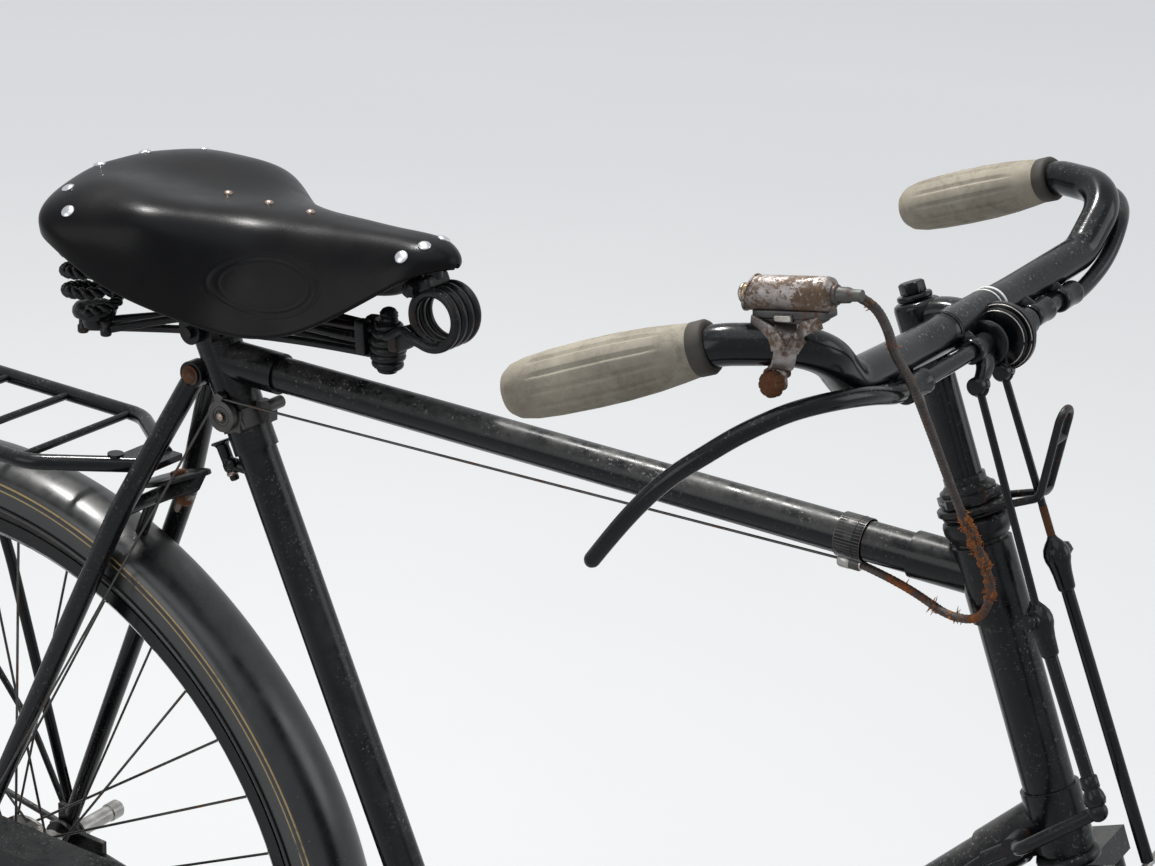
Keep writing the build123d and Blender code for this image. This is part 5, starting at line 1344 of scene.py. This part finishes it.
PEG_AT = np.array([-270.6, 0, 490.2])
peg = Shells()
peg_way = unit((14.2, 0, -27.4))
peg.add(turned(PEG_AT, peg_way, [(0, 0.1), (0, 7.0), (0.7, 7.7), (1.6, 7.5), (2.8, 5.6), (4.5, 4.7),
                                 (16, 4.6), (18, 5.0), (21.5, 5.0), (23, 4.2), (24, 3.4)], 34))
peg.add(turned(PEG_AT + peg_way * 23.6, peg_way,
               [(0, 0.1), (0, 4.0), (0.6, 4.5), (2.2, 4.5), (2.8, 4.0), (2.9, 0.1)], 30), 1)
peg.add(turned(PEG_AT + peg_way * 26.4, peg_way, [(0, 0.1), (0, 3.4), (2.5, 3.5), (4.0, 2.8), (4.6, 0.1)],
               30))
peg.add(turned((-262.5, 0, 475.0), (1, 0, -0.03),
               [(0, 0.1), (0, 4.6), (4, 5.2), (8, 5.0), (9, 4.2), (20, 4.0)], 28))
peg.add(turned((-257, -2.5, 477.5), -LEFT,
               [(0, 0.1), (0, 4.4), (2.2, 5.0), (4.4, 4.4), (6.0, 2.4), (6.4, 0.1)], 28))
make("pump_peg_turned", peg, [CLEAN_ENAMEL, SILVER_WORN], "frame", ["pump_peg"], crease=45)

# the clamp's bent flap: its place, its two ways, and its corners along those ways
FLAP_AT = (-300.5, -9.5, 448.8)
FLAP_ALONG = (0.901, -0.002, 0.433)
FLAP_ACROSS = (-0.312, 0.691, 0.652)
FLAP_CORNERS = [(-24.0, -9.0), (-10.6, -7.7), (20.6, -7.1), (26.2, 10.3), (-17.4, 6.0), (-24.0, 4.0)]
clamp = Shells()
t = np.linspace(0, 2 * math.pi, 64, endpoint=False)
leaf_long = 33 * np.sign(np.cos(t)) * np.abs(np.cos(t)) ** 1.15
leaf_wide = 17 * np.sin(t) * (1 - 0.28 * np.cos(t))
leaf_outline = np.stack([leaf_long, leaf_wide], axis=1)
clamp.add(plate((-312, 0, 451), leaf_outline, (0.93, 0, 0.36), LEFT, 3.6))
flap = np.array(FLAP_CORNERS, float)
along_edge = np.linspace(0.08, 0.92, 9)[None, :, None]
flap_edge = flap[:, None, :] + (np.roll(flap, -1, axis=0) - flap)[:, None, :] * along_edge
clamp.add(plate(FLAP_AT, flap_edge.reshape(-1, 2), FLAP_ALONG, FLAP_ACROSS, 2.2))
clamp.add(turned((-311.4, 0, 455), (-302 + 311.4, 0, 430 - 455),
                 [(0, 0.1), (0, 3.8), (25, 3.8), (26.7, 0.1)], 24), 1)
clamp.add(six_sided((-312.0, 0, 456.5), (0.36, 0, -0.93), 10.5, 4, 36), 1)
nut_at = np.array([-307.0, -2.0, 441.0])
clamp.add(turned(nut_at, (9.4, 0, -25), [(0, 0.1), (0, 4.6), (1, 5.0), (5, 4.4), (8, 3.4), (8.2, 0.1)], 30),
          1)
for end, way in (((-290.5, -4.0, 442.0), (0.92, -0.1, 0.38)),
                 ((-311.5, -3.0, 425.0), (-0.35, -0.1, -0.93))):
    middle = (nut_at + np.array([1.5, 0, -3.5]) + np.array(end)) / 2
    clamp.add(rounded_block(middle, (14.0, 2.2, 5.4), way, np.cross(way, LEFT), 0.8), 2)
make("carrier_clamp_leaf", clamp, [DULL_ENAMEL, RUST, PATINA], "frame", ["carrier_clamp"],
     crease=45)

bolt = Shells()
STAY_TOP = np.array([-285.0, 0.0, 541.0])
bolt.add(turned(STAY_TOP - LEFT * 15, LEFT, [(0, 0.1), (0, 4.0), (30, 4.0), (30, 0.1)], 24), 1)
for side in (-1, 1):
    bolt.add(turned(STAY_TOP + LEFT * 15.6 * side, LEFT * side,
                    [(0, 0.1), (0, 7.0), (0.9, 7.4), (1.6, 7.0), (1.8, 6.0), (3.0, 5.6), (4.4, 3.8),
                     (5.0, 1.6), (5.1, 0.1)], 36))
make("seat_stay_bolt_head", bolt, [RUST, DARK_STEEL], "frame", ["seat_stay_bolt"], crease=45)

# Mudguards
GUARD_R = 375
GUARD_WALL = 1.5
DOME_RISE = 17
EDGE_DROP = 34.6
BEAD_R = 1.35


def guard_section(half):
    """Closed section of a mudguard: radius and side of a dome, with a rolled bead at both edges, and the
    same dome a wall's thickness inside."""
    a = np.linspace(0, math.pi, 41)
    foot = GUARD_R - DOME_RISE
    dome = np.stack([foot + DOME_RISE * np.sin(a) ** 0.92, -half * np.cos(a)], axis=1)
    under = np.stack([foot + (DOME_RISE - GUARD_WALL) * np.sin(a) ** 0.92,
                      -(half - GUARD_WALL) * np.cos(a)], axis=1)
    b = np.linspace(math.pi, 2.7 * math.pi, 13)
    bead = np.stack([GUARD_R - EDGE_DROP + BEAD_R * np.sin(b), BEAD_R * np.cos(b)], axis=1)
    left = bead + np.array([0, half - BEAD_R])
    right = (bead * np.array([1, -1]) + np.array([0, -half + BEAD_R]))[::-1]
    return np.concatenate([right, dome, left, under[::-1]])


# name, body, axle, half width, first angle and span in degrees, paint
GUARDS = [("rear_mudguard", "frame", REAR_AXLE, 29, -8, 216, REAR_GUARD_PAINT),
          ("front_mudguard", "steering", FRONT_AXLE, 28, 24, 176, FRONT_GUARD_PAINT)]
for name, body, axle, half, start, span, paint in GUARDS:
    guard = Shells()
    guard.add(swept_ring(axle, guard_section(half), start, span, 260))
    make(name + "_blade", guard, [paint], body, [name], crease=60)

# Tyres with a block tread
TYRE_CENTRE_R = 336.0
TYRE_HALF_HIGH = 18.9
TYRE_HALF_WIDE = 19.6
TREAD_BLOCKS = 110
TREAD_REACH = 0.42


def tyre_surface(axle):
    """Tyre round an axle: a horseshoe section, with slanting grooves cut across the crown where a
    triangle wave of the angle is high, a groove on each side and fine ribs along the wall."""
    a = np.linspace(0, 2 * math.pi, 900, endpoint=False)
    s = np.linspace(-1, 1, 47)
    roll = s * math.radians(112)
    tread = np.abs(s) < TREAD_REACH
    wave = np.abs(((a[:, None] * TREAD_BLOCKS / (2 * math.pi) + np.abs(s)[None, :] * 1.6) % 1) - 0.5) * 2
    cut = np.where(wave > 0.72, 0.9, 0.0) * tread[None, :]
    rib = np.where(np.abs(np.abs(s) - 0.20) < 0.03, 0.8, 0.0)[None, :]
    wall = 0.25 * np.cos(s * 60)[None, :] * (np.abs(s) > 0.5)[None, :]
    crown = TYRE_HALF_HIGH - np.maximum(cut, rib) + wall
    r = TYRE_CENTRE_R + np.cos(roll)[None, :] * crown
    y = np.sin(roll)[None, :] * (crown / TYRE_HALF_HIGH) * TYRE_HALF_WIDE
    out = np.stack([np.cos(a), np.zeros_like(a), np.sin(a)], axis=1)
    body = axle + r[:, :, None] * out[:, None, :] + y[:, :, None] * LEFT
    inner_r = np.array([317.0, 316.0, 317.0])
    inner_y = np.array([10.5, 0.0, -10.5])
    core = axle + inner_r[None, :, None] * out[:, None, :] + inner_y[None, :, None] * LEFT
    return np.concatenate([body, core], axis=1)


for name, axle in (("rear_wheel", REAR_AXLE), ("front_wheel", FRONT_AXLE)):
    tyre = Shells()
    tyre.add(tyre_surface(axle), looped=True)
    make(name + "_tyre_tread", tyre, [TYRE_RUBBER], name, [name + "_tyre"], crease=30)

# Camera, light and floor

# the camera solved from the photograph: its right, its top, its back and its place
right = np.array([0.83776747, 0.54377017, 0.04959503])
high = np.array([-0.23276548, 0.27349241, 0.93328566])
back = np.array([0.49392904, -0.79342038, 0.35569397])
spot = np.array([1.091284, -1.285416, 0.471515])


def placed(name, data, axes_and_place):
    """Object whose matrix has these columns: its own three axes and its place."""
    thing = bpy.data.objects.new(name, data)
    pose = np.eye(4)
    pose[:3] = np.stack(axes_and_place, axis=1)
    thing.matrix_world = Matrix(pose.tolist())
    bpy.context.scene.collection.objects.link(thing)
    return thing


lens = bpy.data.cameras.new("photo_camera")
lens.lens = 77.89
lens.sensor_width = 36.0
lens.sensor_fit = "HORIZONTAL"
lens.clip_end = 60.0
bpy.context.scene.camera = placed("photo_camera", lens, (right, high, back, spot))

# name, place, aim, size, watts, colour
LAMPS = [
    ("sun_panel", (-1.0, 0.62, 2.75), (0.25, 0.0, -0.1), 0.26, 122, (1.0, 0.985, 0.96)),
    ("sky_panel", (0.6, -0.8, 2.9), (0.3, 0.0, -0.2), 2.8, 30, (0.86, 0.93, 1.0)),
    ("near_panel", (-0.6, -3.0, 0.9), (0.2, 0.0, -0.3), 2.0, 25, (1.0, 1.0, 1.0)),
    ("side_panel", (2.8, 1.6, 1.0), (0.3, 0.0, -0.3), 1.6, 18, (0.97, 0.985, 1.0)),
]
for name, place, aim, size, watts, colour in LAMPS:
    light = bpy.data.lights.new(name, "AREA")
    light.shape = "SQUARE"
    light.size = size
    light.energy = watts
    light.color = colour
    way = unit(np.array(place) - np.array(aim))
    first, second = across_frame(way)
    placed(name, light, (first, second, way, place))


def shown_rays(tree):
    """One where a ray comes from the camera, a mirror or glass, so that those see the pale backdrop."""
    rays = tree.nodes.new("ShaderNodeLightPath")
    total = rays.outputs["Is Camera Ray"]
    for kind in ("Is Glossy Ray", "Is Transmission Ray"):
        most = tree.nodes.new("ShaderNodeMath")
        most.operation = "MAXIMUM"
        tree.links.new(total, most.inputs[0])
        tree.links.new(rays.outputs[kind], most.inputs[1])
        total = most.outputs["Value"]
    return total


world = bpy.data.worlds.new("pale_room")
world.use_nodes = True
tree = world.node_tree
tree.nodes.clear()
world_out = tree.nodes.new("ShaderNodeOutputWorld")
soft = tree.nodes.new("ShaderNodeBackground")
soft.inputs["Color"].default_value = (0.80, 0.87, 0.97, 1)
soft.inputs["Strength"].default_value = 0.30
seen = tree.nodes.new("ShaderNodeBackground")
seen.inputs["Color"].default_value = (0.84, 0.86, 0.88, 1)
seen.inputs["Strength"].default_value = 0.82
blend = tree.nodes.new("ShaderNodeMixShader")
tree.links.new(shown_rays(tree), blend.inputs[0])
tree.links.new(soft.outputs[0], blend.inputs[1])
tree.links.new(seen.outputs[0], blend.inputs[2])
tree.links.new(blend.outputs[0], world_out.inputs["Surface"])
bpy.context.scene.world = world

floor_paint = Finish("pale_floor")
floor_paint.set(base=floor_paint.mixed(floor_paint.noise(1.5, 3.0), (0.44, 0.44, 0.435),
                                       (0.47, 0.47, 0.465)), rough=0.9, specular=0.1)
glow = floor_paint.new("ShaderNodeEmission")
glow.inputs["Color"].default_value = (0.97, 0.985, 1.0, 1)
# the glow rises with distance, so that the floor runs into the backdrop
away_x, away_y = floor_paint.axes()[:2]
squares = floor_paint.plus(floor_paint.times(away_x, away_x), floor_paint.times(away_y, away_y))
distance = floor_paint.maths("SQRT", squares)
strength = floor_paint.times(shown_rays(floor_paint.tree), floor_paint.band(distance, 1.5, 5.0, 0.36, 0.52))
floor_paint.join(strength, glow.inputs["Strength"])
together = floor_paint.new("ShaderNodeAddShader")
floor_paint.join(floor_paint.shader.outputs["BSDF"], together.inputs[0])
floor_paint.join(glow.outputs[0], together.inputs[1])
floor_paint.join(together.outputs[0], floor_paint.out.inputs["Surface"])
FLOOR_Z = -0.9775
FLOOR_HALF = 14
floor_corners = [(x * FLOOR_HALF, y * FLOOR_HALF, FLOOR_Z) for x, y in ((-1, -1), (1, -1), (1, 1), (-1, 1))]
floor_mesh = bpy.data.meshes.new("floor")
floor_mesh.from_pydata(floor_corners, [], [(0, 1, 2, 3)])
floor_mesh.materials.append(floor_paint.material)
floor = bpy.data.objects.new("floor", floor_mesh)
bpy.context.scene.collection.objects.link(floor)

bpy.context.scene.view_settings.view_transform = "Standard"
